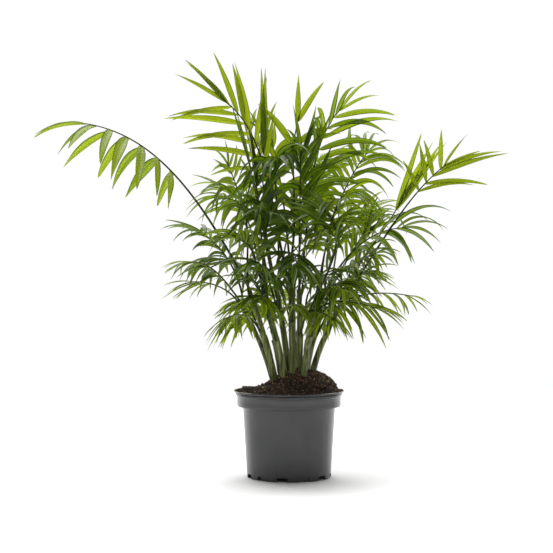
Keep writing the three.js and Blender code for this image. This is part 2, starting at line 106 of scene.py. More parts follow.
def make_piece(name, batch, finishes, nodes=(), smooth=True):
    """One object from a batch, riding on the part's only body."""
    mesh = bpy.data.meshes.new(name)
    mesh.from_pydata([corner * MM for corner in batch.corners], [], batch.faces)
    for finish in finishes:
        mesh.materials.append(finish)
    mesh.polygons.foreach_set("material_index", batch.finish_numbers)
    mesh.polygons.foreach_set("use_smooth", [smooth] * len(batch.faces))
    mesh.update()
    piece = into_scene(name, mesh)
    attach(piece, "root")
    if nodes:
        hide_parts(*nodes)
    triangles = sum(len(face) - 2 for face in batch.faces)
    print(name, "has", triangles, "triangles")
    return piece


# %% A tube along a line
def ring_faces(rings, sides):
    """The faces between rings of corners, open at both ends."""
    faces = []
    for ring in range(rings - 1):
        low = ring * sides
        high = low + sides
        for corner in range(sides):
            beside = (corner + 1) % sides
            faces.append((low + corner, low + beside, high + beside, high + corner))
    return faces


def closed_faces(rings, sides):
    """The same faces and one over each end."""
    last = (rings - 1) * sides
    return ring_faces(rings, sides) + [tuple(reversed(range(sides))), tuple(range(last, last + sides))]


def add_tube(batch, line, radii, sides, finish_number=0, flutes=0, flute_depth=0.0, turn=0.0):
    """A closed tube through points; flutes are shallow grooves along it."""
    side = None
    corners = []
    for number, centre in enumerate(line):
        before = line[max(0, number - 1)]
        after = line[min(len(line) - 1, number + 1)]
        ahead = (after - before).normalized()
        if side is None:
            side = ahead.orthogonal()
        side = (side - ahead * side.dot(ahead)).normalized()
        across = ahead.cross(side)
        for corner in range(sides):
            angle = 2 * math.pi * corner / sides + turn
            radius = radii[number] * (1 - flute_depth * (0.5 + 0.5 * math.cos(flutes * angle)))
            corners.append(centre + (side * math.cos(angle) + across * math.sin(angle)) * radius)
    batch.add(corners, closed_faces(len(line), sides), finish_number)


# %% [markdown]
# ## The finishes
#
# Each surface gets a node material. Leaves are thin enough to glow when light comes from behind, so a
# leaf finish mixes a glossy surface with a translucent one. Single colours vary through noise,
# because no grown or moulded surface is quite even.

# %% Colours from noise
# The noise values at which a mottled colour leaves its first and reaches its last colour
RAMP_START = 0.32
RAMP_END = 0.68
COLOUR_DETAIL = 4


def screen_colour(red, green, blue):
    """A colour from screen values of 0 to 255, as the linear values that Blender works in."""
    values = []
    for value in (red, green, blue):
        share = value / 255
        values.append(share / 12.92 if share <= 0.04045 else ((share + 0.055) / 1.055) ** 2.4)
    return (*values, 1.0)


def noise_value(tree, scale, stretch, detail):
    """An output that wanders between 0 and 1 with the place on the piece."""
    place = tree.nodes.new("ShaderNodeTexCoord")
    mapping = tree.nodes.new("ShaderNodeMapping")
    mapping.inputs["Scale"].default_value = stretch
    texture = tree.nodes.new("ShaderNodeTexNoise")
    texture.inputs["Scale"].default_value = scale
    texture.inputs["Detail"].default_value = detail
    tree.links.new(place.outputs["Object"], mapping.inputs["Vector"])
    tree.links.new(mapping.outputs["Vector"], texture.inputs["Vector"])
    return texture.outputs["Fac"]


def mottled_colour(tree, colours, scale, stretch=(1, 1, 1)):
    """A colour output that wanders between screen colours."""
    ramp = tree.nodes.new("ShaderNodeValToRGB")
    elements = ramp.color_ramp.elements
    elements[0].position = RAMP_START
    elements[1].position = RAMP_END
    elements[0].color = screen_colour(*colours[0])
    elements[1].color = screen_colour(*colours[-1])
    for number, colour in enumerate(colours[1:-1]):
        position = RAMP_START + (RAMP_END - RAMP_START) * (number + 1) / (len(colours) - 1)
        elements.new(position).color = screen_colour(*colour)
    tree.links.new(noise_value(tree, scale, stretch, COLOUR_DETAIL), ramp.inputs["Fac"])
    return ramp.outputs["Color"]


# %% Relief and a whole finish
RELIEF_DETAIL = 5


def add_relief(tree, shader, scale, depth_mm, stretch=(1, 1, 1)):
    """Fine bumps from noise, with their depth in millimetres."""
    bump = tree.nodes.new("ShaderNodeBump")
    bump.inputs["Strength"].default_value = 1.0
    bump.inputs["Distance"].default_value = depth_mm * MM
    tree.links.new(noise_value(tree, scale, stretch, RELIEF_DETAIL), bump.inputs["Height"])
    tree.links.new(bump.outputs["Normal"], shader.inputs["Normal"])


def new_finish(name, roughness, specular=0.5):
    """A material and its surface shader."""
    finish = bpy.data.materials.new(name)
    finish.use_nodes = True
    shader = finish.node_tree.nodes["Principled BSDF"]
    shader.inputs["Roughness"].default_value = roughness
    shader.inputs["Specular IOR Level"].default_value = specular
    return finish, shader


def solid_finish(name, colours, roughness, scale, relief_scale, relief_mm, stretch=(1, 1, 1), specular=0.5):
    """An opaque finish whose colour and relief come from noise."""
    finish, shader = new_finish(name, roughness, specular)
    tree = finish.node_tree
    tree.links.new(mottled_colour(tree, colours, scale, stretch), shader.inputs["Base Color"])
    add_relief(tree, shader, relief_scale, relief_mm, stretch)
    return finish


# %% The leaf finishes
LEAF_GLOW = 0.42
LEAF_ROUGHNESS = 0.36
LEAF_SPECULAR = 0.42
LEAF_PATCHES = 45
LEAF_GRAIN = 260
LEAF_GRAIN_DEPTH = 0.003


def leaf_finish(name, dark, light, glow):
    """A thin leaf: glossy and green in front, and glowing where light comes through."""
    finish, shader = new_finish(name, LEAF_ROUGHNESS, LEAF_SPECULAR)
    tree = finish.node_tree
    tree.links.new(mottled_colour(tree, (dark, light), LEAF_PATCHES), shader.inputs["Base Color"])
    add_relief(tree, shader, LEAF_GRAIN, LEAF_GRAIN_DEPTH)
    through = tree.nodes.new("ShaderNodeBsdfTranslucent")
    through.inputs["Color"].default_value = screen_colour(*glow)
    mix = tree.nodes.new("ShaderNodeMixShader")
    mix.inputs["Fac"].default_value = LEAF_GLOW
    tree.links.new(shader.outputs["BSDF"], mix.inputs[1])
    tree.links.new(through.outputs["BSDF"], mix.inputs[2])
    tree.links.new(mix.outputs["Shader"], tree.nodes["Material Output"].inputs["Surface"])
    return finish


# Dark and light surface colours and the glow, five shades for each age
LEAF_SHADES = {
    "young": [
        ((106, 132, 20), (132, 154, 28), (194, 208, 24)),
        ((92, 120, 18), (116, 140, 25), (176, 194, 20)),
        ((80, 108, 17), (102, 126, 22), (160, 180, 17)),
        ((66, 92, 17), (86, 110, 21), (136, 160, 15)),
        ((50, 74, 15), (68, 90, 18), (108, 134, 12)),
    ],
    "middle": [
        ((82, 111, 18), (104, 133, 25), (178, 200, 19)),
        ((67, 93, 17), (87, 113, 22), (153, 180, 17)),
        ((53, 78, 16), (71, 95, 19), (120, 151, 13)),
        ((42, 62, 14), (56, 78, 17), (87, 118, 12)),
        ((31, 47, 12), (42, 60, 14), (60, 87, 9)),
    ],
    "old": [
        ((98, 124, 22), (120, 147, 29), (195, 215, 23)),
        ((80, 107, 19), (100, 127, 25), (169, 193, 19)),
        ((64, 89, 17), (82, 107, 21), (138, 167, 16)),
        ((49, 69, 14), (64, 87, 17), (100, 129, 12)),
        ((33, 51, 12), (47, 67, 14), (67, 93, 9)),
    ],
}
leaf_finishes = {}
for age, shades in LEAF_SHADES.items():
    leaf_finishes[age] = [leaf_finish(f"leaf_{age}_{n}", *shade) for n, shade in enumerate(shades)]
    print(age, "leaves have", len(shades), "shades")

# %% The other finishes
STREAKS = (1, 1, 0.2)
LONG_STREAKS = (1, 1, 0.07)
SOIL_COLOURS = [(26, 21, 17), (48, 38, 30), (78, 60, 44)]
STEM_COLOURS = [(54, 60, 22), (88, 96, 42), (136, 142, 84)]
# Screen colours, roughness, fineness of the patches and of the relief, and the relief's depth in
# millimetres, then a stretch that draws both out into upright streaks, and the gloss
dry_finish = solid_finish("leaf_dry_tip", [(150, 128, 84), (186, 164, 112)], 0.7, 90, 600, 0.1)
pot_finish = solid_finish("pot_plastic", [(49, 49, 50), (57, 57, 58)], 0.26, 30, 900, 0.02)
soil_finish = solid_finish("soil_dark", SOIL_COLOURS, 0.95, 260, 900, 0.6)
CRUMB_FINISHES = [
    # Name, screen colours, roughness and depth of relief
    ("crumb_dark", [(30, 24, 20), (54, 43, 34)], 0.95, 0.4),
    ("crumb_brown", [(74, 55, 40), (114, 86, 62)], 0.9, 0.4),
    ("crumb_russet", [(138, 102, 74), (178, 140, 106)], 0.9, 0.3),
    ("grit_cream", [(196, 176, 134), (232, 220, 188)], 0.8, 0.2),
]
crumb_finishes = []
for name, colours, roughness, depth in CRUMB_FINISHES:
    crumb_finishes.append(solid_finish(name, colours, roughness, 300, 900, depth))
bark_finish = solid_finish("bark_chip", [(70, 48, 34), (122, 84, 56)], 0.85, 300, 500, 0.4, STREAKS)
stem_finish = solid_finish("stem_skin", STEM_COLOURS, 0.5, 380, 700, 0.12, LONG_STREAKS, 0.3)
rib_finish = solid_finish("rib_skin", [(32, 46, 12), (56, 72, 22)], 0.5, 200, 700, 0.05, STREAKS, 0.2)
fibre_finish = solid_finish("sheath_fibre", [(104, 70, 46), (154, 118, 80)], 0.85, 300, 600, 0.2, STREAKS)
print("finishes in all:", len(bpy.data.materials))

# %% [markdown]
# ## The pot
#
# The real pot is moulded from thin plastic: a tapered body, a wider collar, two small ribs and a lip,
# and a foot with gaps. It could be modelled by hand from a cylinder, but every moulded pot is a turned
# shape, so a profile is spun round the axis and the gaps are then cut out of the foot.

# %% The pot's profile
POT_SIDES = 144
POT_WALL = 1.4
POT_HEIGHT = 94.0
LIP_RADIUS = 60.0
COLLAR_RADIUS = 56.7
COLLAR_BOTTOM = 77.0
BODY_TOP_RADIUS = 50.4
BODY_FOOT_RADIUS = 45.8
FOOT_HEIGHT = 4.7
FOOT_WALL = 3.2
PAD_RADIUS = 16.0
FLOOR_TOP = FOOT_HEIGHT + POT_WALL
INNER_COLLAR = COLLAR_RADIUS - POT_WALL
# Radius and height of each point, from the middle of the underside round to the middle of the floor
POT_PROFILE = [
    (0, 0),
    (PAD_RADIUS, 0),
    (PAD_RADIUS, FOOT_HEIGHT),
    (BODY_FOOT_RADIUS - FOOT_WALL, FOOT_HEIGHT),
    (BODY_FOOT_RADIUS - FOOT_WALL, 0),
    (BODY_FOOT_RADIUS - 0.5, 0),
    (BODY_FOOT_RADIUS - 0.1, 0.3),
    (BODY_FOOT_RADIUS + 0.05, FOOT_HEIGHT),
    (BODY_FOOT_RADIUS + 0.3, 10),
    (48.1, 40),
    (BODY_TOP_RADIUS - 0.1, COLLAR_BOTTOM - 2),
    (BODY_TOP_RADIUS + 0.3, COLLAR_BOTTOM - 0.9),
    (BODY_TOP_RADIUS + 1.2, COLLAR_BOTTOM - 0.5),
    (COLLAR_RADIUS - 1.6, COLLAR_BOTTOM - 0.2),
    (COLLAR_RADIUS - 0.6, COLLAR_BOTTOM),
    (COLLAR_RADIUS - 0.1, COLLAR_BOTTOM + 0.9),
    (COLLAR_RADIUS, COLLAR_BOTTOM + 3),
    (COLLAR_RADIUS, 87.6),
    (COLLAR_RADIUS + 0.4, 88.3),
    (57.9, 88.8),
    (58.0, 89.4),
    (58.0, 90.7),
    (57.6, 91.2),
    (58.2, 91.7),
    (59.5, 92.0),
    (LIP_RADIUS - 0.1, 92.5),
    (LIP_RADIUS, 93.2),
    (LIP_RADIUS - 0.2, 93.8),
    (LIP_RADIUS - 0.6, POT_HEIGHT),
    (LIP_RADIUS - 1.1, 93.8),
    (LIP_RADIUS - POT_WALL, 93.2),
    (INNER_COLLAR + 1.4, 91.2),
    (INNER_COLLAR, 90),
    (INNER_COLLAR, COLLAR_BOTTOM + POT_WALL),
    (BODY_TOP_RADIUS - POT_WALL, COLLAR_BOTTOM),
    (BODY_FOOT_RADIUS - POT_WALL, FLOOR_TOP),
    (0, FLOOR_TOP),
]
print("the pot's profile has", len(POT_PROFILE), "points")


# %% Spin the profile
def spin_profile(profile, sides):
    """A closed turned shape; the profile's ends lie on the axis."""
    batch = Batch()
    corners = [Vector((0, 0, profile[0][1]))]
    for radius, height in profile[1:-1]:
        for corner in range(sides):
            angle = 2 * math.pi * corner / sides
            corners.append(Vector((radius * math.cos(angle), radius * math.sin(angle), height)))
    corners.append(Vector((0, 0, profile[-1][1])))
    faces = []
    rows = len(profile) - 2
    for corner in range(sides):
        beside = (corner + 1) % sides
        faces.append((0, 1 + beside, 1 + corner))
        for row in range(rows - 1):
            low = 1 + row * sides
            high = low + sides
            faces.append((low + corner, low + beside, high + beside, high + corner))
        top = 1 + (rows - 1) * sides
        faces.append((top + corner, top + beside, len(corners) - 1))
    batch.add(corners, faces)
    return batch


pot = make_piece("pot_shell", spin_profile(POT_PROFILE, POT_SIDES), [pot_finish], ["pot"])

# %% [markdown]
# Twelve gaps notch the foot, and every second one is a drain that goes right through. They could be
# cut one by one, but a single Boolean with one loose block for each cuts them all. The blind gaps are
# a little deeper than in the solid, because their shadow would not show otherwise.

# %% Cut the gaps out of the foot
GAP_COUNT = 12
GAP_WIDTH = 11.6
GAP_DEPTH = 2.6
DRAIN_DEPTH = FOOT_WALL + 2
GAP_TOP = FOOT_HEIGHT - 0.2
GAP_TURN = -9.5
CUT_MARGIN = 1
SHARP_ANGLE = 38


def gap_cutter():
    """One loose mesh with a block for each gap; every second block goes right through the foot."""
    batch = Batch()
    for number in range(GAP_COUNT):
        depth = GAP_DEPTH if number % 2 else DRAIN_DEPTH
        turn = Matrix.Rotation(math.radians(GAP_TURN + 360 * number / GAP_COUNT), 3, "Z")
        corners = []
        for height in (-CUT_MARGIN, GAP_TOP):
            for x, y in ((-1, 1), (1, 1), (1, 0), (-1, 0)):
                reach = BODY_FOOT_RADIUS + CUT_MARGIN - (depth + CUT_MARGIN) * y
                corners.append(turn @ Vector((x * GAP_WIDTH / 2, -reach, height)))
        faces = [(0, 1, 2, 3), (7, 6, 5, 4)]
        for corner in range(4):
            beside = (corner + 1) % 4
            faces.append((corner, corner + 4, beside + 4, beside))
        batch.add(corners, faces)
    mesh = bpy.data.meshes.new("gap_cutter")
    mesh.from_pydata([corner * MM for corner in batch.corners], [], batch.faces)
    return into_scene("gap_cutter", mesh)


def apply_modifiers(piece):
    """Turns a piece's modifiers into plain mesh."""
    graph = bpy.context.evaluated_depsgraph_get()
    finished = bpy.data.meshes.new_from_object(piece.evaluated_get(graph))
    piece.modifiers.clear()
    piece.data = finished


cutter = gap_cutter()
cut = pot.modifiers.new("gaps", "BOOLEAN")
cut.operation = "DIFFERENCE"
cut.solver = "EXACT"
cut.object = cutter
apply_modifiers(pot)
bpy.data.objects.remove(cutter)
pot.data.set_sharp_from_angle(angle=math.radians(SHARP_ANGLE))
print("pot faces after the cut:", len(pot.data.polygons))

# %% [markdown]
# ## The soil
#
# Potting soil is a heap of crumbs, fibres and bits of bark on a lumpy ground, and loose soil lies in low
# heaps against the collar. A displaced surface alone looks like cloth, so crumbs, fibres and bark are
# strewn over it afterwards.

# %% The mound's height, as in the part's source
SOIL_EDGE = 91.5
MOUND_HEIGHT = 26.0
MOUND_X = 13.0
MOUND_Y = -2.0
MOUND_STRETCH = 1.15
MOUND_HALF = 30.0
SOCKET_DEPTH = 2.0
SOIL_RADIUS = INNER_COLLAR - 0.4


def soil_height(x, y):
    """The smooth mound that the solid has."""
    away = math.hypot((x - MOUND_X) / MOUND_STRETCH, y - MOUND_Y) / MOUND_HALF
    wall = 1 - (math.hypot(x, y) / INNER_COLLAR) ** 8
    return SOIL_EDGE + MOUND_HEIGHT * math.exp(-math.log(2) * away**3) * max(0, wall)


print("mound:", round(soil_height(MOUND_X, MOUND_Y), 1), "mm high")

# %% Lumps and heaps on the mound
HEAPS = [
    # x, y, height and half width of the loose soil heaped against the collar
    (-50, -3, 6.5, 11),
    (-42, 22, 4.0, 13),
    (-32, -36, 2.0, 11),
    (50, 3, 5.5, 9),
    (42, -26, 2.4, 10),
]
HEAP_FADE = 6.0
HEAP_EDGE = 0.2
LUMPS = [
    # Width, where in the noise they are taken from, and height
    (7, 3.1, 1.3),
    (2.2, 8.4, 0.6),
]
SETTLED = 0.5


def lumpy_height(x, y):
    """The mound and the loose heaps, with lumps of two sizes."""
    height = soil_height(x, y) - SETTLED
    for width, level, lump_height in LUMPS:
        height += lump_height * noise.noise(Vector((x / width, y / width, level)))
    fade = min(1, HEAP_EDGE + (SOIL_RADIUS - math.hypot(x, y)) / HEAP_FADE)
    for heap_x, heap_y, heap_height, half in HEAPS:
        away = math.hypot(x - heap_x, y - heap_y) / half
        height += heap_height * fade * math.exp(-math.log(2) * away**2)
    return height


# %% The soil's surface
SOIL_RINGS = 70
SOIL_SPOKES = 200
SOIL_UNDERSIDE = 82.0
soil_corners = [Vector((0, 0, lumpy_height(0, 0)))]
# One ring more than the surface has is the edge of the underside
for ring in range(1, SOIL_RINGS + 2):
    radius = SOIL_RADIUS * min(ring, SOIL_RINGS) / SOIL_RINGS
    for spoke in range(SOIL_SPOKES):
        angle = 2 * math.pi * spoke / SOIL_SPOKES
        x = radius * math.cos(angle)
        y = radius * math.sin(angle)
        height = lumpy_height(x, y) if ring <= SOIL_RINGS else SOIL_UNDERSIDE
        soil_corners.append(Vector((x, y, height)))
soil_faces = [(0, 1 + spoke, 1 + (spoke + 1) % SOIL_SPOKES) for spoke in range(SOIL_SPOKES)]
for ring in range(SOIL_RINGS):
    low = 1 + ring * SOIL_SPOKES
    high = low + SOIL_SPOKES
    for spoke in range(SOIL_SPOKES):
        beside = (spoke + 1) % SOIL_SPOKES
        soil_faces.append((low + spoke, high + spoke, high + beside, low + beside))
soil_faces.append(tuple(reversed(range(high, high + SOIL_SPOKES))))
soil_batch = Batch()
soil_batch.add(soil_corners, soil_faces)
make_piece("soil_mound", soil_batch, [soil_finish], ["soil"])

# %% [markdown]
# A crumb could be a plain ball, but balls look like beads. Each is a solid of twenty faces whose
# corners are moved in and out at random. Nearly half are dark, and the others are brown, russet or
# cream grit, as in the photograph.

# %% The shape of a crumb
RAGGED = 0.25


def icosahedron():
    """The corners and faces of a regular solid with twenty faces."""
    golden = (1 + math.sqrt(5)) / 2
    corners = []
    for first in (-1, 1):
        for second in (-golden, golden):
            corners += [(0, first, second), (first, second, 0), (second, 0, first)]
    corners = [Vector(corner).normalized() for corner in corners]
    edge = min((corners[0] - other).length for other in corners[1:])
    faces = []
    # Three corners that are an edge apart make a face, turned to look outwards
    for numbers in itertools.combinations(range(len(corners)), 3):
        first, second, third = (corners[number] for number in numbers)
        sides = (first - second, second - third, first - third)
        if max(side.length for side in sides) < edge * 1.1:
            normal = (second - first).cross(third - first)
            looks_out = normal.dot(first + second + third) > 0
            faces.append(numbers if looks_out else (numbers[0], numbers[2], numbers[1]))
    return corners, faces


lump_corners, lump_faces = icosahedron()


def ragged_lump(draws, middle, turn, radius, stretch=(1, 1, 1)):
    """The corners of one crumb, each moved in or out by a draw of its own."""
    corners = []
    for corner in lump_corners:
        ragged = corner * (1 + draws.uniform(-RAGGED, RAGGED)) * radius
        ragged = Vector(part * grow for part, grow in zip(ragged, stretch))
        corners.append(middle + turn @ ragged)
    return corners


print("a crumb has", len(lump_faces), "faces")

# %% Crumbs on the soil
CRUMB_COUNT = 3000
# For dark, brown and russet crumbs and cream grit: where its share of the draws ends, and its radii
CRUMB_SHARES = (0.44, 0.74, 0.945, 1.0)
CRUMB_RADII = ((0.35, 1.0), (0.35, 1.0), (0.35, 1.0), (0.4, 0.85))
CRUMB_STRETCH = ((0.6, 1.3), (0.6, 1.2), (0.5, 0.9))
CRUMB_LIFT = 0.25
BIG_SHARE = 0.06
BIG_GROWTH = 1.9
EDGE_MARGIN = 0.8
draw = random.Random(41)


def random_turn():
    axis = Vector((draw.gauss(0, 1), draw.gauss(0, 1), draw.gauss(0, 1))).normalized()
    return Matrix.Rotation(draw.uniform(0, 2 * math.pi), 3, axis)


def soil_spot(most=1.0):
    """A random place on the soil, even over its area."""
    radius = (SOIL_RADIUS - EDGE_MARGIN) * math.sqrt(draw.random()) * most
    angle = draw.uniform(0, 2 * math.pi)
    return radius * math.cos(angle), radius * math.sin(angle)


crumbs = Batch()
for _ in range(CRUMB_COUNT):
    x, y = soil_spot()
    pick = draw.random()
    finish_number = next(n for n, share in enumerate(CRUMB_SHARES) if pick <= share)
    radius = draw.uniform(*CRUMB_RADII[finish_number])
    if draw.random() < BIG_SHARE:
        radius *= BIG_GROWTH
    turn = random_turn()
    stretch = Vector(draw.uniform(*limits) for limits in CRUMB_STRETCH)
    middle = Vector((x, y, lumpy_height(x, y) + radius * CRUMB_LIFT))
    crumbs.add(ragged_lump(draw, middle, turn, radius, stretch), lump_faces, finish_number)
print("crumbs on the soil:", CRUMB_COUNT)

# %% [markdown]
# Some soil is spilt on the lip at the left and the right. Its crumbs fill the groove between the soil
# and the lip from the bottom up, so that none of them hangs in the air.

# %% Soil spilt on the lip
# Middle angle and spread in degrees, and the number of crumbs
SPILLS = [(183, 13, 330), (-4, 11, 280)]
SPILL_FOOT = 92.3
SPILL_RISE = 1.5
SPILL_START = SOIL_RADIUS - 1.5
SPILL_REACH = LIP_RADIUS - SOIL_RADIUS + 0.3
SPILL_RADII = (0.45, 1.15)
SPILL_FINISHES = (0, 0, 1, 1, 2)
GROOVE_DEPTH = 1.7
spill_draw = random.Random(5)
for middle_angle, spread, count in SPILLS:
    for _ in range(count):
        angle = math.radians(spill_draw.gauss(middle_angle, spread))
        away = spill_draw.random()
        reach = SPILL_START + SPILL_REACH * away
        groove = GROOVE_DEPTH * (1 - abs(2 * away - 1))
        height = SPILL_FOOT + SPILL_RISE * away - groove * spill_draw.random()
        radius = spill_draw.uniform(*SPILL_RADII)
        middle = Vector((reach * math.cos(angle), reach * math.sin(angle), height))
        turn = Matrix.Rotation(spill_draw.uniform(0, 2 * math.pi), 3, middle.normalized())
        corners = ragged_lump(spill_draw, middle, turn, radius)
        crumbs.add(corners, lump_faces, spill_draw.choice(SPILL_FINISHES))
make_piece("soil_crumbs", crumbs, crumb_finishes, smooth=False)

# %% [markdown]
# The fibres are coir and root bits. Each is a thin bent tube that lies on the soil and lifts a little
# at one end, which is enough to break the heap's outline as the real ones do.

# %% Fibres on the soil
FIBRE_COUNT = 260
FIBRE_STEPS = 5
FIBRE_SPREAD = 0.96
FIBRE_LENGTH = (4, 13)
FIBRE_LIFT = (0, 1.6)
FIBRE_BEND = (-0.5, 0.5)
FIBRE_RADIUS = (0.1, 0.28)
FIBRE_ABOVE = 0.2
FIBRE_THINNING = 0.6
FIBRE_SIDES = 4
FIBRE_FINISHES = (0, 0, 1)
fibres = Batch()
for _ in range(FIBRE_COUNT):
    x, y = soil_spot(FIBRE_SPREAD)
    heading = draw.uniform(0, 2 * math.pi)
    length = draw.uniform(*FIBRE_LENGTH)
    lift = draw.uniform(*FIBRE_LIFT)
    bend = draw.uniform(*FIBRE_BEND)
    line = []
    for step in range(FIBRE_STEPS + 1):
        share = step / FIBRE_STEPS
        line.append(Vector((x, y, lumpy_height(x, y) + FIBRE_ABOVE + lift * share**2)))
        x += math.cos(heading) * length / FIBRE_STEPS
        y += math.sin(heading) * length / FIBRE_STEPS
        heading += bend
        if math.hypot(x, y) > SOIL_RADIUS - 1:
            break
    if len(line) > 2:
        thickness = draw.uniform(*FIBRE_RADIUS)
        radii = [thickness * (1 - FIBRE_THINNING * n / len(line)) for n in range(len(line))]
        add_tube(fibres, line, radii, FIBRE_SIDES, draw.choice(FIBRE_FINISHES))
make_piece("soil_fibres", fibres, [crumb_finishes[2], crumb_finishes[1]])

# %% [markdown]
# A few chips of bark lie on the mound. Each is a flat ragged rod, blunt at both ends, that follows the
# slope under it. Their places are listed one by one, because they are few and each one shows.

# %% Bark on the soil
BARK_RINGS = 7
BARK_SIDES = 6
BARK_RAGGED = 0.16
BARK_WAVE = 0.6
BARK_CHIPS = [
    # x, y, heading in degrees, length, width, thickness
    (10, -28, -32, 17, 3.4, 2.2),
    (-30, -22, 20, 8, 3, 1.6),
    (34, 20, 70, 11, 4, 2),
    (-18, 32, 140, 12, 4, 2.4),
    (30, -30, 15, 7, 2.6, 1.5),
    (-38, 10, 95, 9, 3, 1.8),
    (6, 40, 10, 10, 3.2, 2),
    (43, -6, 60, 6, 3, 1.6),
]


def outward(angle):
    """The level direction at an angle round the upright axis."""
    return Vector((math.cos(angle), math.sin(angle), 0))


bark = Batch()
for x, y, heading, length, width, thickness in BARK_CHIPS:
    angle = math.radians(heading)
    along = outward(angle)
    low = Vector((x, y, 0)) - along * length / 2
    high = Vector((x, y, 0)) + along * length / 2
    along.z = (soil_height(high.x, high.y) - soil_height(low.x, low.y)) / length
    along.normalize()
    across = Vector((-math.sin(angle), math.cos(angle), 0))
    above = along.cross(across)
    middle = Vector((x, y, soil_height(x, y) + thickness * 0.25))
    corners = []
    for ring in range(BARK_RINGS):
        share = ring / (BARK_RINGS - 1) - 0.5
        centre = middle + along * length * share + across * BARK_WAVE * math.sin(5 * share)
        taper = 0.45 + 0.55 * math.sin(math.pi * (ring + 0.6) / (BARK_RINGS + 0.2))
        for corner in range(BARK_SIDES):
            turn = 2 * math.pi * corner / BARK_SIDES
            ragged = 1 + draw.uniform(-BARK_RAGGED, BARK_RAGGED)
            side = across * math.cos(turn) * width / 2 * taper * ragged
            corners.append(centre + side + above * math.sin(turn) * thickness / 2 * taper * ragged)
    bark.add(corners, closed_faces(BARK_RINGS, BARK_SIDES))
make_piece("bark_chips", bark, [bark_finish], smooth=False)

# %% [markdown]
# ## The plant's table
#
# Every stem and frond is one row of named sizes, the same rows that the solids grew from. Only tones,
# slimness, leaflets in between, the opening of the seventh frond and the last eight fronds are this
# script's own. The rows come first and the growing second, so that a frond is moved by changing a line.

# %% Stems: foot x and y, top x, y and z, and the foot's radius
STEMS = {
    "a": (-16, -12, -43, -16, 205, 4.4),
    "b": (-6, -16, -24, -26, 190, 4.6),
    "c": (-1, -4, -13, 0, 203, 4.0),
    "d": (4, -15, 1, -21, 228, 4.2),
    "e": (12, -9, 11, -9, 206, 3.6),
    "f": (18, 0, 29, 2, 196, 3.8),
    "g": (26, -7, 52, -6, 182, 4.0),
    "h": (20, 13, 38, 28, 196, 3.6),
    "i": (-9, 9, -27, 27, 205, 4.0),
    "j": (6, 14, 4, 42, 212, 3.8),
    "k": (-18, 2, -52, 16, 188, 3.6),
    "l": (16, -21, 24, -48, 184, 3.8),
}
STEM_TOP_RADIUS = 1.9
STEM_LEAN = 1.25
STEM_TAPER = 1.3
FOOT_SHARE = 0.07
FOOT_NARROWING = 0.2

# %% Fronds by age
# A midrib rises from its stem and eases into its tip over these shares of its length, and its foot is
# bare and so many millimetres thick. Leaflets open from it, stand up in a vee, hang and sag, and their
# width is a share of their length.
YOUNG = dict(rise=0.45, ease=0.3, bare=0.5, open=52, hang=0, sag=0.3, wide=0.17, vee=0.2, thick=1.45)
MIDDLE = dict(rise=0.42, ease=0.34, bare=0.48, open=56, hang=0, sag=1, wide=0.15, vee=0.2, thick=1.3)
OLD = dict(rise=0.4, ease=0.36, bare=0.36, open=52, hang=0.5, sag=1.1, wide=0.13, vee=0.15, thick=1.15)
YOUNG["age"] = "young"
MIDDLE["age"] = "middle"
OLD["age"] = "old"
# Leaflets are rolled round the midrib, opened further on one side by the skew and shorter on one side.
# The last two fork, and end at a length of their own. Tone goes from 0, the lightest, to 1, the darkest.
COMMON = dict(roll=0, skew=0, shorter=1, fork=15, end=0.76, tone=None, splits=None, slim=None)


def frond(stem, at, tip, pitch, age, leaf, pairs, **own):
    """Its stem, how far up that it grows, its tip, its pitch there, its age and its leaflets."""
    row = dict(stem=stem, at=at, tip=tip, pitch=pitch, leaf=leaf, pairs=pairs)
    return {**COMMON, **age, **row, **own}


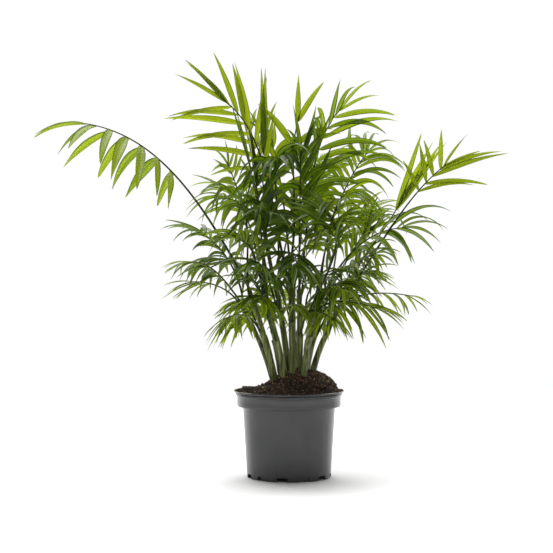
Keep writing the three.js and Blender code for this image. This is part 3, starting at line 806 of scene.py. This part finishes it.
# %% The fronds
FRONDS = [
    # The long fronds that stand out of the crown
    frond(
        "a", 1, (-224, -48, 380), 4, YOUNG, 64, 6, hang=0.85, sag=1, wide=0.21, bare=0.54,
        rise=0.4, ease=0.34, open=65, skew=-16, vee=0, end=0.92, tone=0.6, slim=0.78,
    ),
    frond(
        "d", 0.93, (-72, -30, 408), 36, YOUNG, 86, 7,
        roll=70, open=42, skew=15, fork=8, shorter=0.82, sag=0.42, bare=0.5, wide=0.085, tone=0.25, slim=0.84,
    ),
    frond("c", 1, (-28, -34, 354), 90, YOUNG, 120, 0, roll=5, fork=1.5, sag=0, wide=0.09, vee=0, tone=0.2),
    frond(
        "d", 1, (11, -20, 390), 72, YOUNG, 66, 1,
        roll=80, open=37, fork=14, sag=0.6, bare=0.76, wide=0.14, tone=0.6,
    ),
    frond(
        "e", 1, (58, 0, 404), 50, MIDDLE, 84, 8,
        roll=119, open=50, fork=12, shorter=0.65, sag=1.05, bare=0.42, wide=0.095, end=0.6, tone=0.3,
    ),
    frond(
        "g", 1, (172, -10, 341), 38, YOUNG, 76, 4,
        roll=75, open=47, skew=-12, shorter=0.56, sag=0.4, bare=0.75, wide=0.1, end=0.58, tone=0.45, slim=0.7,
    ),
    frond(
        "g", 0.94, (123, 22, 300), 77, YOUNG, 108, 1,
        roll=85, open=9, fork=3, sag=0.1, bare=0.93, wide=0.14, tone=0, slim=0.54,
    ),
    frond("h", 1, (127, 0, 271), 0, MIDDLE, 72, 6, roll=40, sag=1.6, open=52, wide=0.1, slim=0.82),
    # The crown's sides
    frond("f", 0.95, (48, -76, 268), -5, MIDDLE, 64, 4, sag=1.4, wide=0.14, roll=30),
    frond("h", 0.95, (90, 40, 277), 60, MIDDLE, 46, 3, roll=60, open=25, fork=10, sag=0.2),
    frond("h", 0.9, (92, 60, 362), 40, MIDDLE, 64, 6, roll=40, sag=1.6, wide=0.11),
    frond("i", 1, (-70, 50, 347), 60, MIDDLE, 44, 5, roll=75, open=60, sag=0.8, shorter=0.8),
    frond("a", 0.93, (-70, -20, 302), 0, MIDDLE, 68, 5, roll=20, open=66, sag=2.2, wide=0.11),
    frond("b", 1, (-18, -80, 282), -15, MIDDLE, 62, 5, sag=1.6, wide=0.15, roll=-20),
    frond("b", 0.93, (-56, -56, 256), -10, MIDDLE, 60, 5, sag=1.3, wide=0.14),
    frond("g", 0.88, (92, -30, 240), -5, MIDDLE, 46, 5, sag=1.6, roll=30),
    # The crown's front
    frond("d", 0.88, (7, -105, 227), -50, MIDDLE, 48, 4, hang=0.3, wide=0.19, roll=-15),
    frond("c", 0.94, (-12, -88, 338), -20, MIDDLE, 62, 4, sag=2.1, wide=0.18, roll=25),
    frond("e", 0.94, (12, -52, 350), 62, MIDDLE, 72, 5, sag=0.8, open=30, bare=0.4, wide=0.13, roll=-30),
    frond("f", 1, (58, -84, 298), 0, MIDDLE, 58, 5, sag=2, wide=0.16, roll=25),
    frond("c", 0.88, (-36, -66, 322), 66, MIDDLE, 76, 4, sag=0.7, open=28, bare=0.36, wide=0.13, roll=-40),
    frond("l", 0.97, (34, -84, 288), 50, MIDDLE, 66, 4, roll=50, sag=1, open=34, bare=0.36, wide=0.15),
    frond("b", 0.87, (-30, -100, 228), -15, MIDDLE, 52, 4, roll=-30, sag=1.7, hang=0.4, wide=0.18),
    # The low, old fronds
    frond("g", 0.8, (136, 10, 196), -14, OLD, 38, 4, hang=0.6, sag=1.2, bare=0.6, splits=1),
    frond("l", 0.88, (92, -40, 184), -20, OLD, 54, 6, roll=35, open=50, wide=0.11, splits=1),
    frond("a", 0.55, (-66, -44, 174), -25, OLD, 46, 5, roll=25, open=62, hang=0.75, tone=0.2),
    frond("k", 0.88, (-108, 10, 212), -3, OLD, 44, 4, bare=0.72, open=34, wide=0.11, sag=0.7, splits=1),
    frond("k", 1, (-112, 24, 234), -6, OLD, 46, 5),
    frond("e", 0.45, (44, -88, 172), -25, OLD, 40, 5, bare=0.5),
    frond("b", 0.5, (-30, -82, 194), -30, OLD, 46, 4, roll=-20, wide=0.18, bare=0.5),
    frond("f", 0.5, (66, 26, 202), -10, OLD, 44, 5, roll=20),
    frond("a", 0.5, (-56, 16, 190), -15, OLD, 40, 5, roll=-20),
    # The crown's back
    frond("j", 1, (-20, 90, 370), 50, YOUNG, 62, 5, roll=20),
    frond("j", 0.93, (40, 120, 350), 25, MIDDLE, 62, 5),
    frond("i", 0.93, (-70, 110, 320), 10, MIDDLE, 60, 5),
    frond("h", 0.84, (95, 108, 292), 15, MIDDLE, 60, 5),
    frond("i", 0.87, (-84, 70, 238), -5, MIDDLE, 50, 5, hang=0.4),
    frond("j", 0.87, (5, 130, 290), -5, MIDDLE, 56, 5),
    frond("f", 0.6, (56, -76, 204), -30, MIDDLE, 52, 4, roll=25, sag=1.6, wide=0.18, hang=0.4),
    # Painted light: the four low fronds below take the lightest shade, tone 0, so that they look lit through
    # from behind, although they stand in the crown's shade.
    frond("h", 0.5, (92, 70, 222), -10, MIDDLE, 48, 5, hang=0.6, tone=0),
    frond("j", 0.4, (-20, 76, 204), -20, OLD, 50, 5, hang=0.6, wide=0.17, tone=0),
    frond("j", 0.35, (36, 70, 188), -20, OLD, 48, 5, hang=0.6, wide=0.17, tone=0),
    frond("i", 0.4, (-54, 58, 190), -15, OLD, 48, 5, hang=0.6, wide=0.17, tone=0),
    frond("k", 0.94, (-110, 60, 270), 5, MIDDLE, 50, 4),
    frond("i", 0.72, (-52, 66, 398), 62, YOUNG, 60, 5, roll=40),
    frond("c", 0.8, (-43, -30, 339), 68, MIDDLE, 94, 0, fork=2, sag=0.1, wide=0.09, vee=0, tone=0.9),
]
FROND_NODES = len(FRONDS)
# Small fronds low inside the crown, which are too slight for solids of their own
FRONDS += [
    frond("f", 0.62, (42, -58, 216), -20, MIDDLE, 42, 4, sag=1.6, roll=20),
    frond("e", 0.68, (20, -64, 222), -25, MIDDLE, 44, 4, sag=1.5, roll=-15),
    frond("c", 0.6, (-16, -60, 212), -25, MIDDLE, 42, 4, sag=1.6, roll=15),
    frond("g", 0.62, (86, -34, 220), -10, MIDDLE, 42, 4, sag=1.4, roll=20),
    frond("h", 0.62, (76, 6, 228), -5, MIDDLE, 42, 4, sag=1.5),
    frond("d", 0.5, (4, -58, 186), -30, OLD, 40, 4),
    frond("l", 0.6, (58, -52, 190), -20, OLD, 40, 4),
    frond("b", 0.62, (-46, -50, 214), -20, MIDDLE, 42, 4, sag=1.5),
]
# The long fronds at the head of the list keep their leaflets one for one. Of the others, those past
# their youth have one more between each two, and all their leaflets are slimmer for it.
LONG_FRONDS = 8
SPLITS = dict(young=1, middle=2, old=2)
SLIM = {1: 0.88, 2: 0.68}
for number, row in enumerate(FRONDS):
    if row["splits"] is None:
        row["splits"] = 1 if number < LONG_FRONDS else SPLITS[row["age"]]
    if row["slim"] is None:
        row["slim"] = SLIM[row["splits"]]
print(len(STEMS), "stems and", len(FRONDS), "fronds")

# %% [markdown]
# ## Growing the stems and midribs
#
# A stem leans out from its foot to its top. A midrib leaves its stem upwards and bends over towards its
# tip, which four points of a smooth curve describe. Where a midrib would touch a stem or an earlier
# midrib, it tries small sideways bends. It takes the first that leaves room, or else the one that
# leaves the most.


# %% Points on a stem and on a midrib
def stem_point(name, share):
    """The middle of a stem at a share of its height, as it leans out from its foot."""
    foot_x, foot_y, top_x, top_y, top_z = STEMS[name][:5]
    foot_z = soil_height(foot_x, foot_y) - SOCKET_DEPTH
    lean = max(0, share) ** STEM_LEAN
    x = foot_x + (top_x - foot_x) * lean
    y = foot_y + (top_y - foot_y) * lean
    return Vector((x, y, foot_z + (top_z - foot_z) * share))


def stem_radius(name, share):
    """A stem's radius there: it tapers upwards and is drawn in a little at the soil."""
    foot = STEMS[name][5]
    narrowing = 1 - FOOT_NARROWING * max(0, 1 - share / FOOT_SHARE)
    return (STEM_TOP_RADIUS + (foot - STEM_TOP_RADIUS) * (1 - share) ** STEM_TAPER) * narrowing


def stem_line(name, steps):
    """Points up a stem in even steps, and its radii there."""
    shares = [step / steps for step in range(steps + 1)]
    return [stem_point(name, share) for share in shares], [stem_radius(name, share) for share in shares]


# %% A midrib's curve
# The room between a frond's foot and its stem, for a frond on top of the stem and for one beside it
CLEAR = 0.3
SEAT = 0.48
STEM_STEP = 0.04
START_OUT = 0.2


def midrib_curve(row, swing, sway):
    """The four points of a midrib's curve."""
    start = stem_point(row["stem"], row["at"])
    ahead = (start - stem_point(row["stem"], row["at"] - STEM_STEP)).normalized()
    tip = Vector(row["tip"])
    out = Vector((tip.x - start.x, tip.y - start.y, 0)).normalized()
    out.rotate(Matrix.Rotation(math.radians(swing), 3, "Z"))
    pitch = math.radians(row["pitch"])
    end = out * math.cos(pitch) + UP * math.sin(pitch)
    if row["at"] < 1:
        start += out * (stem_radius(row["stem"], row["at"]) + row["thick"] + SEAT)
    else:
        start += ahead * CLEAR
    heading = (ahead + out * START_OUT).normalized()
    length = (tip - start).length
    aside = UP.cross(out) * sway
    first = start + heading * row["rise"] * length + aside
    second = tip - end * row["ease"] * length + aside
    return start, first, second, tip


def on_curve(curve, share):
    start, first, second, tip = curve
    rest = 1 - share
    return (
        start * rest**3
        + first * 3 * rest**2 * share
        + second * 3 * rest * share**2
        + tip * share**3
    )


def along_curve(curve, share):
    """The direction of a curve at a share of its way."""
    low = max(0, share - 0.0001)
    high = min(1, share + 0.0001)
    return (on_curve(curve, high) - on_curve(curve, low)).normalized()


RIB_TIP_RADIUS = 0.5


def rib_radius(row, share):
    return row["thick"] * (1 - share) + RIB_TIP_RADIUS * share


def rib_line(row, curve, steps):
    """Points along a midrib in even steps, and its radii there."""
    shares = [step / steps for step in range(steps + 1)]
    return [on_curve(curve, share) for share in shares], [rib_radius(row, share) for share in shares]


# %% The gap between two lines, and the bends to try
def gap_between(points, radii, other_points, other_radii):
    """The least gap between a line of points with radii and another such line."""
    low = other_points[:-1]
    step = other_points[1:] - low
    reach = points[:, None, :] - low[None, :, :]
    share = (reach * step).sum(-1) / (step * step).sum(-1)
    share = np.clip(share, 0, 1)
    nearest = low + step * share[..., None]
    thickness = radii[:, None] + other_radii[:-1] * (1 - share) + other_radii[1:] * share
    return (np.linalg.norm(points[:, None, :] - nearest, axis=-1) - thickness).min()


def bends():
    """Sideways bends to try, the smallest first."""
    tries = [(0, 0)]
    for lean in (6, -8):
        for step in range(1, 9):
            tries += [(lean * step, 3 * step), (-lean * step, -3 * step)]
    return tries


# %% Grow the midribs
STEM_CHECKS = 16
RIB_CHECKS = 24
ROOM_WANTED = 0.35


def grow_midribs():
    """A curve for each frond, bent as little as keeps it clear of what already stands."""
    standing = []
    for name in STEMS:
        points, radii = stem_line(name, STEM_CHECKS)
        standing.append((name, np.array(points), np.array(radii)))
    curves = []
    for row in FRONDS:
        best_gap = -math.inf
        for swing, sway in bends():
            curve = midrib_curve(row, swing, sway)
            points, radii = (np.array(values) for values in rib_line(row, curve, RIB_CHECKS))
            gap = math.inf
            for name, other_points, other_radii in standing:
                skipped = 2 if name == row["stem"] and row["at"] >= 1 else 0
                room = gap_between(points[skipped:], radii[skipped:], other_points, other_radii)
                gap = min(gap, room)
            if gap > best_gap:
                best_gap, best_curve, best_points = gap, curve, points
            if gap > ROOM_WANTED:
                break
        standing.append((None, best_points, radii))
        curves.append(best_curve)
    return curves


curves = grow_midribs()
print("midribs grown:", len(curves))

# %% [markdown]
# ## The stems
#
# Up close a stem isn't a plain rod. Old leaf bases wrap it in layers, each ending in a slanted lip
# where its stalk leaves, and fine ribs run along them. The rod is a fluted tube, and every frond adds
# a sheath that hugs the stem below it and swells towards the stalk.

# %% Stems with ribs along them
STEM_ROWS = 40
STEM_SIDES = 24
STEM_RIBS = 6
STEM_GROOVE = 0.09
STEM_ROOT = 4
stems = Batch()
for number, name in enumerate(STEMS):
    line, radii = stem_line(name, STEM_ROWS)
    line.insert(0, line[0] - UP * STEM_ROOT)
    radii.insert(0, radii[0])
    add_tube(stems, line, radii, STEM_SIDES, flutes=STEM_RIBS, flute_depth=STEM_GROOVE, turn=number)
stem_nodes = ["stem_%02d" % (number + 1) for number in range(len(STEMS))]
make_piece("stems", stems, [stem_finish], stem_nodes)

# %% Sheaths below the fronds
SHEATH_ROWS = 12
SHEATH_SIDES = 20
SHEATH_LENGTH = dict(young=0.34, middle=0.34, old=0.24)
SHEATH_BOTTOM = 0.03
SHEATH_TOP = 0.985
SHEATH_SLANT = 0.14
SHEATH_SKIN = 0.12
SHEATH_FLARE = 0.4
SHEATH_RIB = 0.1
SHEATH_SWELL = 0.6
LIP_IN = 0.5
LIP_DOWN = 0.4
sheaths = Batch()
for row, curve in zip(FRONDS, curves):
    top = min(row["at"], SHEATH_TOP)
    bottom = max(SHEATH_BOTTOM, top - SHEATH_LENGTH[row["age"]])
    stalk = curve[0] - stem_point(row["stem"], row["at"])
    towards = math.atan2(stalk.y, stalk.x)
    swell = row["thick"] + SEAT if row["at"] < 1 else 0.1
    corners = []
    for step in range(SHEATH_ROWS + 1):
        share = step / SHEATH_ROWS
        for corner in range(SHEATH_SIDES):
            angle = 2 * math.pi * corner / SHEATH_SIDES
            facing = math.cos(angle - towards)
            height = bottom + (top - bottom) * share * (1 - SHEATH_SLANT + SHEATH_SLANT * facing)
            rib = SHEATH_RIB * math.cos(STEM_RIBS * angle)
            radius = stem_radius(row["stem"], height) + SHEATH_SKIN
            radius += SHEATH_FLARE * math.sqrt(share) + rib * share
            radius += (swell + SHEATH_SWELL) * share**3 * max(0, facing) ** 1.5
            corners.append(stem_point(row["stem"], height) + outward(angle) * radius)
    # The last ring turns inward and is the sheath's dry brown lip
    for corner, point in enumerate(corners[-SHEATH_SIDES:]):
        out = outward(2 * math.pi * corner / SHEATH_SIDES)
        corners.append(point - out * LIP_IN - UP * LIP_DOWN)
    sheaths.add(corners, ring_faces(SHEATH_ROWS + 2, SHEATH_SIDES))
    sheaths.finish_numbers[-SHEATH_SIDES:] = [1] * SHEATH_SIDES
make_piece("stem_sheaths", sheaths, [stem_finish, fibre_finish])

# %% [markdown]
# ## Stalks and midribs
#
# A frond's stalk is thickest where it leaves the stem and thins to a thread at its tip. On the real
# plant its upper side is grooved, but the groove is too fine to show at this size, so a plain tapering
# tube along the grown curve is enough.

# %% Stalks and midribs
RIB_ROWS = 44
RIB_SIDES = 8
STALK_ROOT = 3
STALK_NARROWING = 0.9
ribs = Batch()
for row, curve in zip(FRONDS, curves):
    line, radii = rib_line(row, curve, RIB_ROWS)
    line.insert(0, line[0] - along_curve(curve, 0) * STALK_ROOT)
    radii.insert(0, radii[0] * STALK_NARROWING)
    add_tube(ribs, line, radii, RIB_SIDES)
make_piece("stalks", ribs, [rib_finish])

# %% [markdown]
# ## The leaflets
#
# A parlour palm's leaflet is a pleated blade: folded along its middle, with three to five raised veins
# that run its whole length. It could be a flat card with a vein picture, but from near by the pleats
# catch the light, so each blade is a small grid whose columns step up and down.


# %% How leaflets differ from each other
def unevenness(index, pair, hand, kind):
    """A steady value from -1 to 1 that differs from leaflet to leaflet."""
    return math.sin(13 * index + 4.1 * pair + 1.7 * hand + 2.4 * kind)


# How much a leaflet's opening in degrees, length, sag, sideways bend and pointedness may differ
UNEVEN_OPEN = 7
UNEVEN_LENGTH = 0.1
UNEVEN_SAG = 0.35
UNEVEN_BEND = 0.55
UNEVEN_POINT = 0.3

# %% Where each leaflet starts
BLADE_POINT = 0.85
RIB_STEPS = 8
LAST_ROOT = 0.96
LAST_SAG = 0.7
STAGGER = 0.012


def rib_centre(curve, share):
    """A point of the midrib as the solid has it, in straight steps."""
    step = min(RIB_STEPS - 1, math.floor(share * RIB_STEPS))
    low = on_curve(curve, step / RIB_STEPS)
    high = on_curve(curve, (step + 1) / RIB_STEPS)
    return low.lerp(high, share * RIB_STEPS - step)


def leaflet_set_off(row, curve, index, pair, hand):
    """A leaflet's root, direction, size and droop."""
    last = pair == row["pairs"]
    share = pair / row["pairs"] if row["pairs"] else 1
    along = min(LAST_ROOT, row["bare"] + (1 - row["bare"]) * share**0.94)
    ahead = along_curve(curve, along)
    level = Vector((row["tip"][0] - curve[0].x, row["tip"][1] - curve[0].y, 0))
    side = level.cross(UP).normalized()
    side = (side - ahead * side.dot(ahead)).normalized()
    side.rotate(Matrix.Rotation(math.radians(row["roll"]), 3, ahead))
    up = side.cross(ahead)
    # Leaflets are longest in the middle of the frond, and open and droop less towards its tip
    size = row["leaf"] * (0.55 + 0.5 * math.sin(math.pi * (0.2 + 0.66 * share)))
    size *= 1 + UNEVEN_LENGTH * unevenness(index, pair, hand, 1)
    length = size * (row["shorter"] if hand < 0 else 1)
    opened = row["open"] * (1.05 - 0.5 * share**1.4) + hand * row["skew"]
    opened += UNEVEN_OPEN * unevenness(index, pair, hand, 0)
    sag = row["sag"] * (1.25 - 0.5 * share) * (1 + UNEVEN_SAG * unevenness(index, pair, hand, 2))
    if last:
        length = size = row["leaf"] * row["end"]
        opened = row["fork"]
        sag = row["sag"] * LAST_SAG
    root = rib_centre(curve, along - (STAGGER if hand > 0 and not last else 0))
    angle = math.radians(opened)
    way = (ahead * math.cos(angle) + side * hand * math.sin(angle)).normalized()
    hang = row["hang"] * (1 - 0.85 * share**3)
    bend = 0 if index < LONG_FRONDS or last else UNEVEN_BEND * unevenness(index, pair, hand, 3)
    point = BLADE_POINT * (1 + UNEVEN_POINT * unevenness(index, pair, hand, 4))
    return dict(
        root=root, way=way, up=up, size=size, length=length, sag=sag, hang=hang, bend=bend, point=point
    )


# %% A leaflet's middle line and half widths
LEAF_STEPS = 8
BLADE_PEAK = 0.66


def leaflet_line(row, start, lift, hang, scale):
    """Nine places along a leaflet, each with its centre, its direction and the direction across it."""
    way = (start["way"] + start["up"] * (row["vee"] + lift)).normalized()
    way = (way - UP * (start["hang"] + hang)).normalized()
    across = way.cross(start["up"]).normalized()
    step = start["length"] * scale / LEAF_STEPS
    centre = start["root"].copy()
    places = []
    for number in range(LEAF_STEPS + 1):
        share = number / LEAF_STEPS
        ahead = way - UP * start["sag"] * share**1.3 + across * start["bend"] * share
        ahead.normalize()
        edge = (across - ahead * across.dot(ahead)).normalized()
        places.append((centre.copy(), ahead, edge))
        centre += ahead * step
    return places


def half_width(row, start, scale, share):
    """Half a leaflet's width at a share of its length: it swells soon and ends in a point."""
    bulge = max(0, math.sin(math.pi * min(1, share) ** BLADE_PEAK))
    return 0.5 * row["slim"] * row["wide"] * start["size"] * scale * bulge ** start["point"]


def smooth_between(before, low, high, after, share):
    """A smooth value between low and high, which also follows their neighbours."""
    cubed = after - high * 3 + low * 3 - before
    squared = before * 2 - low * 5 + high * 4 - after
    return (cubed * share**3 + squared * share**2 + (high - before) * share + low * 2) * 0.5


# %% Shapes for the touch test
COARSE_SIDES = 5
# How far each try lifts a leaflet, how much more it hangs, and its scale
LEAF_TRIES = [(0, 0, 1), (0.25, 0, 1), (0, 0.3, 1), (0.5, 0, 0.85), (-0.3, 0.1, 0.85), (0, 0, 0.6)]


def coarse_blade(row, start, places, scale):
    """A leaflet's outline as a strip, for the touch test."""
    corners = []
    for number, (centre, _, edge) in enumerate(places):
        half = half_width(row, start, scale, number / LEAF_STEPS)
        corners += [centre + edge * half, centre - edge * half]
    faces = [(2 * n, 2 * n + 1, 2 * n + 3, 2 * n + 2) for n in range(LEAF_STEPS)]
    return corners, faces


def coarse_tube(line, radii):
    batch = Batch()
    add_tube(batch, line, radii, COARSE_SIDES)
    return batch.corners, batch.faces


def tree_of(shapes):
    """Many shapes in one tree, which finds quickly what touches them."""
    batch = Batch()
    for corners, faces in shapes:
        batch.add(corners, faces)
    return BVHTree.FromPolygons(batch.corners, batch.faces)


# %% [markdown]
# Each leaflet then looks for room. It is tried as it should grow, and next raised, lowered or smaller,
# until a coarse strip of it touches no stem, no other frond's midrib and no leaflet of an earlier frond.
# One that finds no room is left out. Leaflets of one frond aren't tested against each other, and the
# finished blades are finer than the strips, so some blades still cross.
# Leaflets in between are a little shorter and arch in their own ways, as a real crown is never combed.

# %% Every leaflet of every frond
BETWEEN_LENGTH = 0.9
BETWEEN_SAG = (1.0, 2.2)
BETWEEN_BEND = 0.4
STEM_TESTS = 8
RIB_TESTS = 16
between_draw = random.Random(23)


def grow_leaflets():
    """Every leaflet that finds room, with its frond's number, its start, its places and its scale."""
    stem_shapes = [coarse_tube(*stem_line(name, STEM_TESTS)) for name in STEMS]
    rib_shapes = [coarse_tube(*rib_line(row, curve, RIB_TESTS)) for row, curve in zip(FRONDS, curves)]
    grown = []
    earlier = []
    left_out = 0
    for index, (row, curve) in enumerate(zip(FRONDS, curves)):
        others = rib_shapes[:index] + rib_shapes[index + 1 :]
        tree = tree_of(stem_shapes + others + earlier)
        own = []
        splits = row["splits"]
        for place in range(row["pairs"] * splits + 1):
            for hand in (-1, 1):
                start = leaflet_set_off(row, curve, index, place / splits, hand)
                if place % splits:
                    start["length"] *= BETWEEN_LENGTH
                    start["sag"] *= between_draw.uniform(*BETWEEN_SAG)
                    start["bend"] += between_draw.uniform(-BETWEEN_BEND, BETWEEN_BEND)
                for lift, hang, scale in LEAF_TRIES:
                    places = leaflet_line(row, start, lift, hang, scale)
                    blade = coarse_blade(row, start, places, scale)
                    if not BVHTree.FromPolygons(*blade).overlap(tree):
                        own.append(blade)
                        grown.append((index, start, places, scale))
                        break
                else:
                    left_out += 1
        earlier += own
    print("leaflets:", len(grown), "left out:", left_out)
    return grown


leaflets = grow_leaflets()

# %% Places along a blade
# Where the lines along a blade lie, from edge to edge
LINES = [-1, -0.84, -0.58, -0.3, 0, 0.3, 0.58, 0.84, 1]
# A blade has thin dark edges and paler strips between its veins
STRIPES = [3, 1, 0, 1, 1, 0, 1, 3]
DARKEST = 4


def place_at(places, share):
    """The centre, direction and edge direction at a share of a leaflet's length."""
    spot = share * LEAF_STEPS
    step = min(LEAF_STEPS - 1, int(spot))
    rest = spot - step
    four = [places[min(max(step + n, 0), LEAF_STEPS)] for n in (-1, 0, 1, 2)]
    centre = smooth_between(*(place[0] for place in four), rest)
    ahead = four[1][1].lerp(four[2][1], rest).normalized()
    edge = four[1][2].lerp(four[2][2], rest).normalized()
    return centre, ahead, edge


print("a blade has", len(STRIPES), "strips")

# %% Pleated blades
BLADE_ROWS = 18
FOLD = 0.5
PLEAT = 0.2
PLEAT_FADE = 0.6
TWIST = 26
RIPPLE = 0.05
RIPPLE_SPEED = 9
RIPPLE_STARTS = (0, 6.28)
LEAST_HALF = 0.06
FOOT_HALF = 0.5
DRY_SHARE = 0.1
DRY_ROWS = 2
DRY_NUMBER = 5
blade_draw = random.Random(7)


def add_blade(batch, row, start, places, scale, shade):
    """One pleated leaflet as a grid of faces, twisted, rippled and now and then dry at its tip."""
    twist = math.radians(blade_draw.uniform(-TWIST, TWIST))
    ripple = blade_draw.uniform(*RIPPLE_STARTS)
    dry = blade_draw.random() < DRY_SHARE
    corners = []
    for step in range(BLADE_ROWS + 1):
        share = step / BLADE_ROWS
        centre, ahead, edge = place_at(places, share)
        edge = (edge - ahead * edge.dot(ahead)).normalized()
        edge.rotate(Matrix.Rotation(twist * share, 3, ahead))
        above = edge.cross(ahead)
        half = max(LEAST_HALF, half_width(row, start, scale, share)) if step else FOOT_HALF
        for column, side in enumerate(LINES):
            lift = FOLD * abs(side) * half
            lift += PLEAT * half * (-1 if column % 2 else 1) * (1 - PLEAT_FADE * abs(side))
            lift += RIPPLE * half * math.sin(RIPPLE_SPEED * share + ripple) * side
            corners.append(centre + edge * side * half + above * lift)
    faces = []
    finish_numbers = []
    for step in range(BLADE_ROWS):
        dried = dry and step >= BLADE_ROWS - DRY_ROWS
        for column, stripe in enumerate(STRIPES):
            low = step * len(LINES) + column
            high = low + len(LINES)
            faces.append((low, low + 1, high + 1, high))
            finish_numbers.append(DRY_NUMBER if dried else min(DARKEST, shade + stripe))
    batch.add(corners, faces)
    batch.finish_numbers[-len(faces) :] = finish_numbers


# %% The leaflets of each age
# A leaflet's shade comes partly from its frond and partly from a draw of its own
FROND_TONE = 0.65
OWN_TONE = 0.35
FIRST_SHADES = 3
batches = {age: Batch() for age in LEAF_SHADES}
drawn_tones = [blade_draw.random() for _ in FRONDS]
for index, start, places, scale in leaflets:
    row = FRONDS[index]
    frond_tone = drawn_tones[index] if row["tone"] is None else row["tone"]
    tone = FROND_TONE * frond_tone + OWN_TONE * blade_draw.random()
    shade = min(FIRST_SHADES - 1, int(tone * FIRST_SHADES))
    add_blade(batches[row["age"]], row, start, places, scale, shade)
for age, batch in batches.items():
    rows = enumerate(FRONDS[:FROND_NODES])
    nodes = ["frond_%02d" % (number + 1) for number, row in rows if row["age"] == age]
    make_piece("leaflets_" + age, batch, leaf_finishes[age] + [dry_finish], nodes)

# %% [markdown]
# ## Floor and light
#
# The photograph is a studio picture on pure white. The floor is a plain pale sheet, and the surroundings
# are white to the camera but shine little. A light overhead and one at the back come through the leaves,
# and two panels behind the plant draw the bright strips down the pot's sides. A narrow light in front
# brightens the floor there, so that only the tight shadow at the pot stays.

# %% The floor
FLOOR_SIDE = 0.75
FLOOR_FRONT = -0.5
FLOOR_BACK = 1.1
FLOOR_ROUGHNESS = 0.7
FLOOR_COLOUR = (0.95, 0.95, 0.95, 1)
floor_finish, floor_shader = new_finish("floor_white", FLOOR_ROUGHNESS)
floor_shader.inputs["Base Color"].default_value = FLOOR_COLOUR
floor_corners = [(-FLOOR_SIDE, FLOOR_FRONT, 0), (FLOOR_SIDE, FLOOR_FRONT, 0)]
floor_corners += [(FLOOR_SIDE, FLOOR_BACK, 0), (-FLOOR_SIDE, FLOOR_BACK, 0)]
floor_mesh = bpy.data.meshes.new("floor")
floor_mesh.from_pydata(floor_corners, [], [(0, 1, 2, 3)])
floor_mesh.materials.append(floor_finish)
floor = into_scene("floor", floor_mesh)
print("floor from", FLOOR_FRONT, "to", FLOOR_BACK, "metres")

# %% The surroundings
# What the camera sees is pure white, and what lights the plant is weaker
SEEN_STRENGTH = 1.0
FILL_STRENGTH = 0.28
world = bpy.data.worlds.new("studio")
bpy.context.scene.world = world
world.use_nodes = True
world_tree = world.node_tree
seen = world_tree.nodes["Background"]
fill = world_tree.nodes.new("ShaderNodeBackground")
for background, strength in ((seen, SEEN_STRENGTH), (fill, FILL_STRENGTH)):
    background.inputs["Color"].default_value = (1, 1, 1, 1)
    background.inputs["Strength"].default_value = strength
rays = world_tree.nodes.new("ShaderNodeLightPath")
world_mix = world_tree.nodes.new("ShaderNodeMixShader")
world_tree.links.new(rays.outputs["Is Camera Ray"], world_mix.inputs["Fac"])
world_tree.links.new(fill.outputs["Background"], world_mix.inputs[1])
world_tree.links.new(seen.outputs["Background"], world_mix.inputs[2])
world_tree.links.new(world_mix.outputs["Shader"], world_tree.nodes["World Output"].inputs["Surface"])
bpy.context.scene.view_settings.view_transform = "Standard"
print("surroundings shine with", FILL_STRENGTH)

# %% The lights
LIGHTS = [
    # Name, place, what it faces, width, height, watts and spread in degrees
    ("overhead", (-0.2, 0.3, 2.2), (0, 0, 0.2), 1.4, 1.4, 38, 180),
    ("panel_left", (-1.0, 1.3, 0.6), (0, 0, 0.2), 0.9, 1.6, 13, 180),
    ("panel_right", (1.0, 1.3, 0.6), (0, 0, 0.2), 0.9, 1.6, 13, 180),
    ("back", (0, 1.6, 1.5), (0, 0, 0.3), 1.4, 1.0, 24, 180),
    ("table", (0, -0.42, 1.1), (0, -0.42, 0), 0.8, 0.2, 1.35, 42),
]
for name, place, target, width, height, power, spread in LIGHTS:
    light_data = bpy.data.lights.new(name, "AREA")
    light_data.shape = "RECTANGLE"
    light_data.size = width
    light_data.size_y = height
    light_data.energy = power
    light_data.spread = math.radians(spread)
    light = into_scene(name, light_data)
    light.location = place
    light.rotation_euler = (Vector(target) - Vector(place)).to_track_quat("-Z", "Y").to_euler()
print("lights:", len(LIGHTS))
